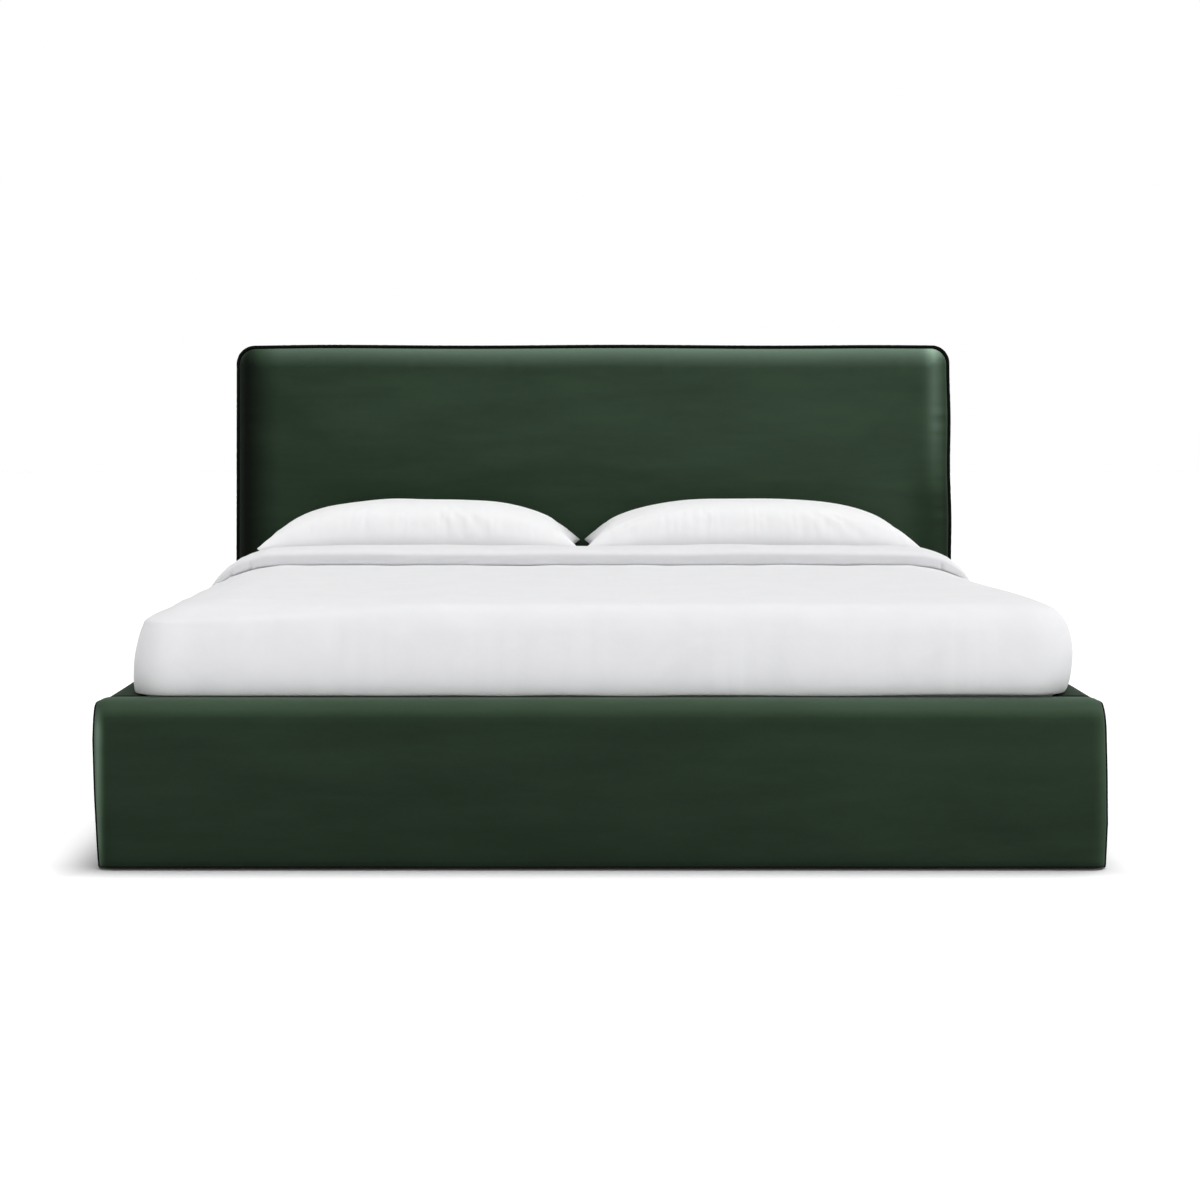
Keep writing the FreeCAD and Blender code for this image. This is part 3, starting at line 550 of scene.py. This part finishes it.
def sideRail(side):
    # velvet sleeve: the board and foam section carried along Y, puffed outwards on the outer and top faces
    low, high = (np.array(corner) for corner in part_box("side_rail_cover_" + side))
    low[2] -= rails["hang"]
    flip = -1.0 if side == "left" else 1.0
    inner, outer = min(abs(low[0]), abs(high[0])), max(abs(low[0]), abs(high[0]))
    loop, normals = roundedLoop((inner, low[2]), (outer, high[2]), (0.006, 0.006, 0.036, 0.020), 0.014)
    tuck = rails["tuck"]
    ys = np.concatenate([low[1] + tuck * (1 - np.cos(np.linspace(0, math.pi / 2, 6))),
                         np.linspace(low[1] + 0.012, high[1] - 0.012, 150),
                         high[1] - tuck * (1 - np.cos(np.linspace(math.pi / 2, 0, 6)))])
    end = np.minimum(ys - low[1], high[1] - ys)
    drawn = tuck * (1.0 - np.sqrt(np.clip(1.0 - np.clip(1.0 - end / tuck, 0, 1) ** 2, 0, 1)))
    up = np.clip((loop[:, 1] - low[2]) / (high[2] - low[2]), 0, 1)
    face = np.clip(normals[:, 0], 0, 1) * np.sin(math.pi * up)
    face += 0.5 * np.clip(normals[:, 1], 0, 1)
    y, x = np.meshgrid(ys, loop[:, 0], indexing="ij")
    z = np.broadcast_to(loop[None, :, 1], x.shape)
    spot = np.stack([x * flip, y, z], axis=-1)
    out = face[None, :] * (rails["puff"] + 0.001 * swell(spot, 0.33, 5)) - drawn[:, None]
    x = x + normals[None, :, 0] * out
    z = z + normals[None, :, 1] * out
    points = np.stack([x * flip, y, z], axis=-1)
    faces = tubeFaces(len(ys), len(loop))
    piece = makePiece("sideRailVelvet_" + side, points, faces, "frame", bottleGreenVelvet)
    scalePaintedLight(piece, railPaintedShade)
    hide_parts("side_rail_cover_" + side, "side_rail_foam_" + side)


def footPaintedLight(spot):
    # painted shade over the whole rail, darker still along the top and a little lighter towards the right,
    # with a painted highlight strip where it turns the corner at each end, far stronger at the left
    ends = np.exp(-((np.abs(spot[:, 0]) - 1.056) / 0.010) ** 2) * ease(0.345, 0.29, spot[:, 2])
    top = 1.0 - 0.28 * ease(0.33, 0.352, spot[:, 2])
    return (0.54 + 0.09 * ease(0.0, 0.7, spot[:, 0])) * top + np.where(spot[:, 0] < 0, 4.2, 0.3) * ends


def footRail():
    # velvet sleeve across the foot: the section carried along X, drawn in at both ends, with bulged end pads
    low, high = (np.array(corner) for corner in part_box("foot_rail_cover"))
    low[2] -= rails["hang"]
    depth, height = high[1] - low[1], high[2] - low[2]
    loop, normals = roundedLoop((low[1], low[2]), (high[1], high[2]), (0.006, 0.006, 0.020, 0.036), 0.012)
    roll, inset = rails["endRoll"], rails["endInset"]
    half = high[0] - rails["capBulge"]
    ends = roll * (1.0 - np.cos(np.linspace(0.0, math.pi / 2.0, 16)))
    xs = np.concatenate([ends - half, np.linspace(roll - half, half - roll, 190)[1:-1], (half - ends)[::-1]])
    edge = half - np.abs(xs)
    t = np.clip(1.0 - edge / roll, 0.0, 1.0)
    drawn = (inset * (1.0 - np.sqrt(np.clip(1.0 - t ** 2, 0.0, 1.0))))[:, None]
    front = np.clip(-normals[:, 0], 0, 1) * np.sin(math.pi * np.clip((loop[:, 1] - low[2]) / height, 0, 1))
    x = np.broadcast_to(xs[:, None], (len(xs), len(loop)))
    spot = np.stack([x, 0 * x, np.broadcast_to(loop[:, 1], x.shape)], axis=-1)
    out = (front + 0.3 * np.clip(normals[:, 1], 0, 1))[None, :] * (0.0025 + 0.0009 * swell(spot, 0.36, 6))
    y = loop[None, :, 0] + normals[None, :, 0] * out
    z = loop[None, :, 1] + normals[None, :, 1] * out
    y = high[1] - (high[1] - y) * (depth - drawn) / depth
    z = low[2] + (z - low[2]) * (height - drawn * rails["endDrop"]) / height
    rings = np.stack([x, y, z], axis=-1)

    def endPad(ring, sign):
        # the end ring shrunk towards its middle while x bulges out as a half ellipse
        shrink = np.cos(np.linspace(0.0, math.pi / 2.0, 9))[1:-1]
        middle = ring.mean(axis=0)
        pad = middle + (ring - middle) * shrink[:, None, None]
        pad[..., 0] = ring[0, 0] + sign * rails["capBulge"] * np.sqrt(1.0 - shrink ** 2)[:, None]
        return pad

    left, right = endPad(rings[0], -1.0)[::-1], endPad(rings[-1], 1.0)
    points = np.concatenate([left, rings, right])
    zs = points[..., 2]
    leftX = np.interp(zs, [0.01, 0.042, 0.157, 0.272, 0.33], [1.056, 1.0585, 1.0645, 1.068, 1.066]) / 1.065
    rightX = np.interp(zs, [0.01, 0.094, 0.198, 0.30, 0.34], [1.063, 1.067, 1.066, 1.064, 1.061]) / 1.065
    points[..., 0] *= np.where(points[..., 0] < 0, leftX, rightX)
    faces = tubeFaces(len(points), len(loop))
    piece = makePiece("footRailVelvet", points, faces, "frame", bottleGreenVelvet)
    scalePaintedLight(piece, footPaintedLight)
    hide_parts("foot_rail_cover", "foot_rail_foam")
    for sign, word, row in ((-1.0, "left", len(left)), (1.0, "right", len(points) - len(right) - 1)):
        seam = points[row]
        middle = seam.mean(axis=0)
        away = seam - middle
        away[:, 0] = 0.0
        away /= np.linalg.norm(away, axis=1)[:, None]
        turns = np.linspace(0.0, 2.0 * math.pi, 9)[:-1]
        axis = np.array([sign, 0.0, 0.0])
        circle = away[:, None, :] * np.cos(turns)[None, :, None] + axis * np.sin(turns)[None, :, None]
        tube = seam[:, None, :] + rails["welt"] * circle
        tube[..., 2] = np.maximum(tube[..., 2], low[2] - 0.003)
        welt = makePiece("footRailPiping_" + word, tube,
                         gridFaces(len(seam), 8, wrapRows=True, wrapColumns=True), "frame", shadedPipingVelvet)


sideRail("left")
sideRail("right")
footRail()
print("bed: rails upholstered")


mattress = {"half": 965 * mm, "front": -1026 * mm, "back": 1006 * mm, "corner": 50 * mm}


def mattressRings(offsets, heights, step=0.03):
    # the mattress outline moved outwards by each offset, at each height
    m = mattress
    corner = m["corner"]
    loop, normals = roundedLoop((-m["half"], m["front"]), (m["half"], m["back"]), (corner,) * 4, step)
    ring = loop[None] + normals[None] * offsets[:, None, None]
    z = np.broadcast_to(heights[:, None, None], ring.shape[:2] + (1,))
    return np.concatenate([ring, z], axis=-1)


def towardsMiddle(ring, height, dome):
    # a ring shrunk to its middle in 14 steps, rising by dome as it goes
    share = np.linspace(1.0, 0.0, 15)[1:, None, None]
    middle = np.array([0.0, (mattress["front"] + mattress["back"]) / 2.0, 0.0])
    flat = ring * np.array([1.0, 1.0, 0.0])
    result = middle + (flat - middle) * share
    result[..., 2] = height + dome * (1.0 - share[..., 0] ** 2)
    return result


def mattressTicking():
    # a quilted block: round edges, a sewn tape edge near top and bottom, and a border drawn in by tufts
    controls = np.array([(-0.024, 0.2582), (-0.011, 0.2602), (-0.004, 0.266), (-0.0012, 0.272),
                         (-0.0035, 0.279), (-0.0012, 0.30), (-0.0006, 0.385), (-0.0012, 0.47),
                         (-0.0035, 0.491), (-0.0012, 0.498), (-0.004, 0.504), (-0.011, 0.5094),
                         (-0.024, 0.5115)])
    profile = throughPoints(controls, np.linspace(0.0, 12.0, 61))
    sides = mattressRings(profile[:, 0], profile[:, 1])
    ripple = np.cos(sides[..., :2] * 2 * math.pi / 0.09)
    tuft = 0.0005 * (1.0 - ripple[..., 0] * ripple[..., 1])
    border = ease(0.29, 0.32, sides[..., 2]) * ease(0.49, 0.46, sides[..., 2])
    sides[..., :2] *= (1.0 - tuft * border)[..., None]
    points = np.concatenate([towardsMiddle(sides[0], 0.2582, 0.0)[::-1], sides,
                             towardsMiddle(sides[-1], 0.5115, 0.0)])
    faces = gridFaces(*points.shape[:2], wrapColumns=True)
    piece = makePiece("mattressTicking", points, faces, "mattress", mattressTick)
    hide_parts("mattress_cover", "mattress_core")


def fittedSheet():
    # a cotton shell 1 mm over the mattress, elastic drawn in at the hem, small pulls at the corners
    controls = np.array([(-0.0008, 0.287), (0.0012, 0.294), (0.001, 0.33), (0.0009, 0.42), (0.0008, 0.486),
                         (-0.0015, 0.501), (-0.009, 0.5108), (-0.024, 0.5132)])
    profile = throughPoints(controls, np.linspace(0.0, 7.0, 40))
    sides = mattressRings(profile[:, 0] + 0.001, profile[:, 1], 0.012)
    angle = np.arctan2(sides[..., 1], sides[..., 0])
    hem = 1.0 - ease(0.287, 0.36, sides[..., 2])
    pull = 1.0 + 0.0003 * hem * (1.0 + gathers(angle * 1.2, 0.028, 3.0))
    sides[..., :2] *= pull[..., None]
    top = towardsMiddle(sides[-1], 0.5132, 0.0004)
    points = np.concatenate([sides, top])
    faces = gridFaces(*points.shape[:2], wrapColumns=True)
    piece = makePiece("fittedSheet", points, faces, "mattress", sheetPercale, (0, 0, 0.4))
    wall = piece.modifiers.new("cotton thickness", "SOLIDIFY")
    wall.thickness = 0.6 * mm
    wall.offset = 1.0
    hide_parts("fitted_sheet")


mattressTicking()
fittedSheet()
print("bed: mattress and sheet made")


duvet = {"fold": 512 * mm, "fanRings": 40, "puckers": (-969 * mm, -919 * mm, 920 * mm), "lining": 3.4 * mm,
         "liningTop": 514.6 * mm, "cuffMiddle": 387 * mm, "cuffReach": 125 * mm}


def shrunk(outline, inwards):
    # the outline drawn in towards the middle of the head edge, so that its corners don't fold over
    fold = duvet["fold"]
    x = outline[..., 0] * (1.0 - inwards / mattress["half"])
    y = fold + (outline[..., 1] - fold) * (1.0 - inwards / (fold - mattress["front"]))
    return np.stack([x, np.minimum(y, fold)], axis=-1)


def duvetBody():
    # quilt over the foot: a U-shaped outline round the mattress, carried up a bulging side profile and over
    # a soft roll, then drawn to the middle of its head edge; the underside follows the mattress
    d, m = duvet, mattress
    corner = m["corner"]
    loop, normals = roundedLoop((-m["half"], m["front"]), (m["half"], m["back"]), (corner,) * 4, 0.013)
    start = int(np.argmin(np.abs(loop[:, 1] - d["fold"]) + (loop[:, 0] > 0) * 9))
    loop, normals = np.roll(loop, -start, axis=0), np.roll(normals, -start, axis=0)
    keep = loop[:, 1] <= d["fold"]
    loop, normals = loop[keep], normals[keep]
    loop[0, 1] = loop[-1, 1] = d["fold"]
    leftSide = [(5.2, 298), (5.4, 320), (6.6, 348), (29, 359.2), (36, 362), (39, 392), (37, 435), (29, 475),
                (20, 502), (13, 515), (-6, 523), (-60, 540), (-130, 551)]
    rightSide = [(5.2, 298), (5.4, 320), (6.6, 348), (24, 359.2), (38, 365), (48, 400), (52, 445), (48, 480),
                 (38, 510), (18, 535), (-8, 547), (-45, 551), (-130, 552)]
    footSide = [(5.2, 298), (5.4, 320), (7, 349), (26, 359.2), (36, 361.5), (38.5, 388), (36.5, 435),
                (31.5, 476), (24, 507), (9, 534), (-12, 547), (-45, 551), (-130, 552)]
    samples = np.linspace(0.0, 12.0, 73)
    leftLine, rightLine, footLine = (throughPoints(np.array(t) * mm, samples)
                                     for t in (leftSide, rightSide, footSide))
    # towards the head the right side flattens to the left one's shape
    headwards = ease(-0.9, 0.2, loop[:, 1])[None, :, None]
    toRight = ease(0.35, 0.95, loop[:, 0])[None, :, None]
    toLeft = ease(0.35, 0.95, -loop[:, 0])[None, :, None]
    rightBlend = rightLine[:, None] * (1.0 - headwards) + leftLine[:, None] * headwards
    profile = (leftLine[:, None] * toLeft + rightBlend * toRight
               + footLine[:, None] * (1.0 - toLeft - toRight))
    length = openLoop(loop)
    middle = ease(0.31, 0.40, profile[..., 1]) * ease(0.545, 0.50, profile[..., 1])
    crumple = 0.0026 * gathers(length, 0.21, 1.0) + 0.0012 * gathers(length, 0.06, 2.0)
    offset = profile[..., 0] + crumple[None, :] * middle
    outer = np.empty(offset.shape + (3,))
    outer[..., :2] = shrunk(loop[None] + normals[None] * np.maximum(offset, 0.0)[..., None],
                            -np.minimum(offset, 0.0))
    outer[..., 2] = profile[..., 1] + 0.002 * gathers(length, 0.34, 3.0)[None, :] * middle
    head = np.array([0.0, d["fold"]])
    share = np.linspace(1.0, 0.0, d["fanRings"])[1:, None, None]
    top = np.empty((d["fanRings"] - 1,) + loop.shape[:1] + (3,))
    top[..., :2] = head + (outer[-1, :, :2] - head) * share
    level = outer[-1, :, 2].mean()
    top[..., 2] = level + (outer[-1, :, 2] - level) * share[..., 0]
    spot = top * np.array([1.0, 1.0, 0.0])
    hills = 0.0016 * swell(spot, 0.55, 12) + 0.0010 * swell(spot, 0.15, 13)
    top[..., 2] += hills * ease(0.0, 0.12, 1 - share[..., 0])
    inner = np.empty((12, len(loop), 3))
    heights = np.linspace(298 * mm, 512 * mm, 12)
    inner[..., :2] = loop[None] + normals[None] * d["lining"]
    inner[..., 2] = heights[:, None]
    inner[..., 1] = np.minimum(inner[..., 1], d["fold"])
    under = top.copy()
    under[..., 2] = d["liningTop"]
    shoulder = inner[-1:].copy()
    shoulder[..., :2] = shrunk(loop, 14 * mm)
    shoulder[..., 2] = d["liningTop"] + 0.2 * mm
    inside = np.concatenate([inner, shoulder, under])
    outside = np.concatenate([outer, top])
    points = np.concatenate([inside[::-1], outside])
    columns = len(loop)
    faces = gridFaces(len(points), columns)
    for column in (0, columns - 1):
        insideIndex = (len(inside) - 1 - np.arange(len(inside))) * columns + column
        outsideIndex = (len(inside) + np.arange(len(outside))) * columns + column
        faces += [insideIndex[::-1].tolist() + outsideIndex.tolist()]
    piece = makePiece("duvetBody", points, faces, "duvet", duvetPercale)
    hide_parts("duvet")


def duvetCuff():
    # the turned-back head end: rounded sections in Y and Z carried along X, drooping over both sides
    left = [(-1020, 490, -1024, 497), (-1004, 497, -1007, 520), (-985, 506, -985, 543),
            (-955, 518, -950, 566), (-915, 530, -905, 582), (-866, 538, -850, 591),
            (-700, 541, -690, 595)]
    right = [(700, 541, 690, 595), (866, 538, 850, 591), (915, 530, 905, 582), (948, 519, 944, 567),
             (972, 508, 973, 545), (986, 499, 990, 525), (996, 490, 1000, 500)]
    controls = np.array(left + [(-350, 540, -345, 594), (0, 540, 0, 594), (350, 540, 345, 595)] + right) * mm
    stations = throughPoints(controls, np.linspace(0.0, len(controls) - 1.0, 300))
    bottom, top = stations[:, :2], stations[:, 2:]
    centre, rise = (bottom + top) / 2.0, (top - bottom) / 2.0
    turns = np.linspace(0.0, 2.0 * math.pi, 65)[:-1]
    power = 0.55
    cosine = np.sign(np.cos(turns)) * np.abs(np.cos(turns)) ** power
    sine = np.sign(np.sin(turns)) * np.abs(np.sin(turns)) ** power
    length = openLoop(centre)
    edge = np.minimum(length, length[-1] - length)
    reach = duvet["cuffReach"] - 2 * mm * (1.0 - ease(0.0, 0.05, edge))
    y = duvet["cuffMiddle"] + reach[:, None] * cosine[None, :]
    y += 0.0016 * gathers(length, 0.19, 2.0)[:, None] * (cosine < 0)[None, :]
    lift = centre[:, None, :] + rise[:, None, :] * sine[None, :, None]
    points = np.stack([lift[..., 0], y, lift[..., 1]], axis=-1)
    bump = 0.0018 * swell(points, 0.22, 21) + 0.0011 * gathers(length, 0.045, 5.0)[:, None] * (cosine < -0.5)
    points[..., 2] += bump * np.clip(sine, 0.0, 1.0)[None, :]
    # three short puckers in the front hem where the cover's binding pulls
    for spot in duvet["puckers"]:
        dent = 7 * mm * np.exp(-((points[..., 0] - spot) / (5 * mm)) ** 2)
        points[..., 1] += dent * (cosine < 0)[None, :] * ease(0.5, -0.4, sine)[None, :]
    points[..., 1] = np.minimum(points[..., 1], duvet["fold"])
    piece = makePiece("duvetCuff", points, tubeFaces(*points.shape[:2]), "duvet", duvetPercale)


duvetBody()
duvetCuff()
print("bed: duvet made")


pillows = {"inflateCap": 14 * mm, "pressure": 4.0, "frames": 20, "seamHeight": 70 * mm, "across": 120,
           "deep": 64}


def pillow(side, seed):
    # two cloths sewn round the rim: height falls off as (1 - u^3)^0.7 (1 - v^2.6)^0.6, the sides
    # pull in between the corners, and the sewn shape is then blown up as cloth and held to a small movement
    low, high = (np.array(corner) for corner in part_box("pillowcase_" + side))
    size = high - low
    centre = (low + high) / 2.0
    across, deep = pillows["across"], pillows["deep"]
    u, v = np.meshgrid(np.linspace(-1, 1, across), np.linspace(-1, 1, deep), indexing="ij")
    fall = (1.0 - np.abs(u) ** 3.0) ** 0.72 * (1.0 - np.abs(v) ** 2.6) ** 0.58
    pullX = 1.0 - 0.042 * (1.0 - v ** 2)
    pullY = 1.0 - 0.050 * (1.0 - u ** 2)
    x = centre[0] + u * pullX * size[0] / 2.0
    y = centre[1] + v * pullY * size[1] / 2.0
    rim = low[2] + pillows["seamHeight"] - 6 * mm * u ** 2
    spot = np.stack([x, y, 0 * x], axis=-1)
    nearEdge = ease(0.35, 0.9, np.maximum(abs(u), abs(v)))
    creases = 0.0022 * gathers(np.arctan2(v, u) * 0.45, 0.07, seed) * nearEdge
    upper = rim + (high[2] - 4 * mm - rim) * fall
    upper += (0.0011 * swell(spot, 0.2, seed) + creases) * ease(0, 0.3, fall)
    # fine wrinkles run up from the front seam where the case is slack
    slack = gathers(x, 0.041, seed) + 0.8 * gathers(x, 0.017, seed + 1.0)
    upper += 0.0011 * slack * ease(-0.35, -0.8, v) * ease(0.0, 0.35, fall)
    # the case's sewn hem
    upper -= 0.003 * np.exp(-((u - 0.87) / 0.018) ** 2) * ease(0.0, 0.2, fall)
    lower = np.maximum(rim - (rim - low[2]) * np.minimum(fall * 2.2, 1.0), low[2] + 0.5 * mm)
    points = np.concatenate([np.stack([x, y, upper], axis=-1).reshape(-1, 3),
                             np.stack([x, y, lower], axis=-1).reshape(-1, 3)])
    faces = gridFaces(across, deep) + gridFaces(across, deep, across * deep)
    piece = makePiece("pillow_" + side + "_cased", points, faces, "pillow_" + side, pillowPercale)
    mesh = piece.data
    before = np.empty(len(mesh.vertices) * 3)
    mesh.vertices.foreach_get("co", before)
    before = before.reshape(-1, 3)
    cloth = piece.modifiers.new("case blown up", "CLOTH")
    cloth.settings.use_pressure = True
    cloth.settings.uniform_pressure_force = pillows["pressure"]
    cloth.settings.effector_weights.gravity = 0.0
    cloth.settings.quality = 5
    cloth.settings.tension_stiffness = 12.0
    cloth.settings.bending_stiffness = 0.4
    for step in range(1, pillows["frames"] + 1):
        scene.frame_set(step)
    evaluated = piece.evaluated_get(bpy.context.evaluated_depsgraph_get()).to_mesh()
    after = np.empty(len(evaluated.vertices) * 3)
    evaluated.vertices.foreach_get("co", after)
    move = after.reshape(-1, 3) - before
    distance = np.linalg.norm(move, axis=1, keepdims=True)
    move *= np.minimum(1.0, pillows["inflateCap"] / np.maximum(distance, 1e-9))
    after = before + move
    # back to the size it was cut: tip to tip across and deep, and lying flat on the sheet
    span = after.max(axis=0) - after.min(axis=0)
    after = low + (after - after.min(axis=0)) * (size - (0.0, 0.0, 0.002)) / span
    after[:, 2] = np.maximum(after[:, 2], low[2] + 6 * mm) - 5.6 * mm
    mesh.vertices.foreach_set("co", after.ravel())
    piece.modifiers.remove(cloth)
    scene.frame_set(1)
    smooth = piece.modifiers.new("soft cloth", "SUBSURF")
    smooth.levels = 1
    smooth.render_levels = 1
    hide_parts("pillowcase_" + side, "pillow_" + side)


pillow("left", 31)
pillow("right", 47)
print("bed: pillows filled")


studio = {"floorSize": 60.0, "keyStrength": 1.85, "fillStrength": 88.0, "skyLeft": 0.24, "skyRight": 0.57,
          "floorGlow": 0.20, "shadowFootprint": (1.06, 1.12), "key": (0.7, 0.3, 5.4), "keyAngle": 32.0}


def studioSet():
    # a large pale floor with a faint cast in its paint, glowing except under the bed, where it is left as a
    # painted shadow, under a white surround
    mesh = bpy.data.meshes.new("studioFloor")
    half = studio["floorSize"] / 2.0
    corners = [(-half, -half, 0), (half, -half, 0), (half, half, 0), (-half, half, 0)]
    mesh.from_pydata(corners, [], [(0, 1, 2, 3)])
    floor = bpy.data.objects.new("studioFloor", mesh)
    scene.collection.objects.link(floor)
    shader = {"Roughness": 0.9, "Specular IOR Level": 0.1, "Emission Color": colour("#ffffff")}
    material, tree, principled, place = newMaterial("matt white studio paint", shader)
    cast = add(tree, "TexNoise", {}, {"Vector": place, "Scale": 0.8})
    ramp = add(tree, "ValToRGB", {}, {"Fac": cast.outputs[0]})
    setRamp(ramp, (0.0, "#fbfbfb"), (1.0, "#ffffff"))
    tree.links.new(ramp.outputs[0], principled.inputs["Base Color"])
    mesh.materials.append(material)
    # the paint glows faintly away from the bed's footprint, which stays unlit: a painted shadow under the bed
    # that fades out over 110 mm around it
    spot = add(tree, "SeparateXYZ", {}, {0: place})
    reach = [add(tree, "Math", {"operation": "ABSOLUTE"}, {0: spot.outputs[axis]}) for axis in (0, 1)]
    beyond = [add(tree, "Math", {"operation": "SUBTRACT"}, {0: size.outputs[0], 1: limit})
              for size, limit in zip(reach, studio["shadowFootprint"])]
    far = add(tree, "Math", {"operation": "MAXIMUM"}, {0: beyond[0].outputs[0], 1: beyond[1].outputs[0]})
    glow = add(tree, "MapRange", {"interpolation_type": "SMOOTHSTEP"},
               {"Value": far.outputs[0], "From Min": 0.0, "From Max": 0.11, "To Min": 0.0,
                "To Max": studio["floorGlow"]})
    tree.links.new(glow.outputs[0], principled.inputs["Emission Strength"])
    world = bpy.data.worlds.new("white surround")
    scene.world = world
    world.use_nodes = True
    tree = world.node_tree
    tree.nodes.clear()
    seen = add(tree, "LightPath").outputs["Is Camera Ray"]
    sides = add(tree, "SeparateXYZ", {}, {0: add(tree, "TexCoord").outputs["Generated"]})
    sky = add(tree, "MapRange", {}, {"Value": sides.outputs[0], "From Min": -1.0, "From Max": 1.0,
                                     "To Min": studio["skyLeft"], "To Max": studio["skyRight"]})
    strength = add(tree, "MapRange", {}, {"Value": seen, "To Min": sky.outputs[0], "To Max": 1.0})
    light = add(tree, "Background", {}, {"Color": colour("#ffffff"), "Strength": strength.outputs[0]})
    add(tree, "OutputWorld", {}, {"Surface": light.outputs[0]})


def light(name, kind, place, aim, **values):
    # a lamp at place that points at aim
    data = bpy.data.lights.new(name, kind)
    for key, value in values.items():
        setattr(data, key, value)
    lamp = bpy.data.objects.new(name, data)
    lamp.location = place
    lamp.rotation_euler = (Vector(aim) - Vector(place)).to_track_quat("-Z", "Y").to_euler()
    scene.collection.objects.link(lamp)


studioSet()
light("key softbox", "SUN", studio["key"], (0, 0, 0.4), energy=studio["keyStrength"],
      angle=math.radians(studio["keyAngle"]))
light("front fill", "AREA", (0.8, -8.0, 1.9), (0, 0, 0.5), energy=studio["fillStrength"], shape="RECTANGLE",
      size=5.0, size_y=2.5)
camera = bpy.data.objects.new("camera", bpy.data.cameras.new("camera"))
scene.collection.objects.link(camera)
camera.location = (-46 * mm, -6286 * mm, 972 * mm)
camera.rotation_euler = (math.pi / 2.0, 0.0, 0.0)
camera.data.lens = 73.92
camera.data.sensor_width = 36.0
camera.data.shift_x = 0.0179
camera.data.shift_y = -0.161
camera.data.clip_end = 200.0
scene.camera = camera
scene.view_settings.view_transform = "Standard"
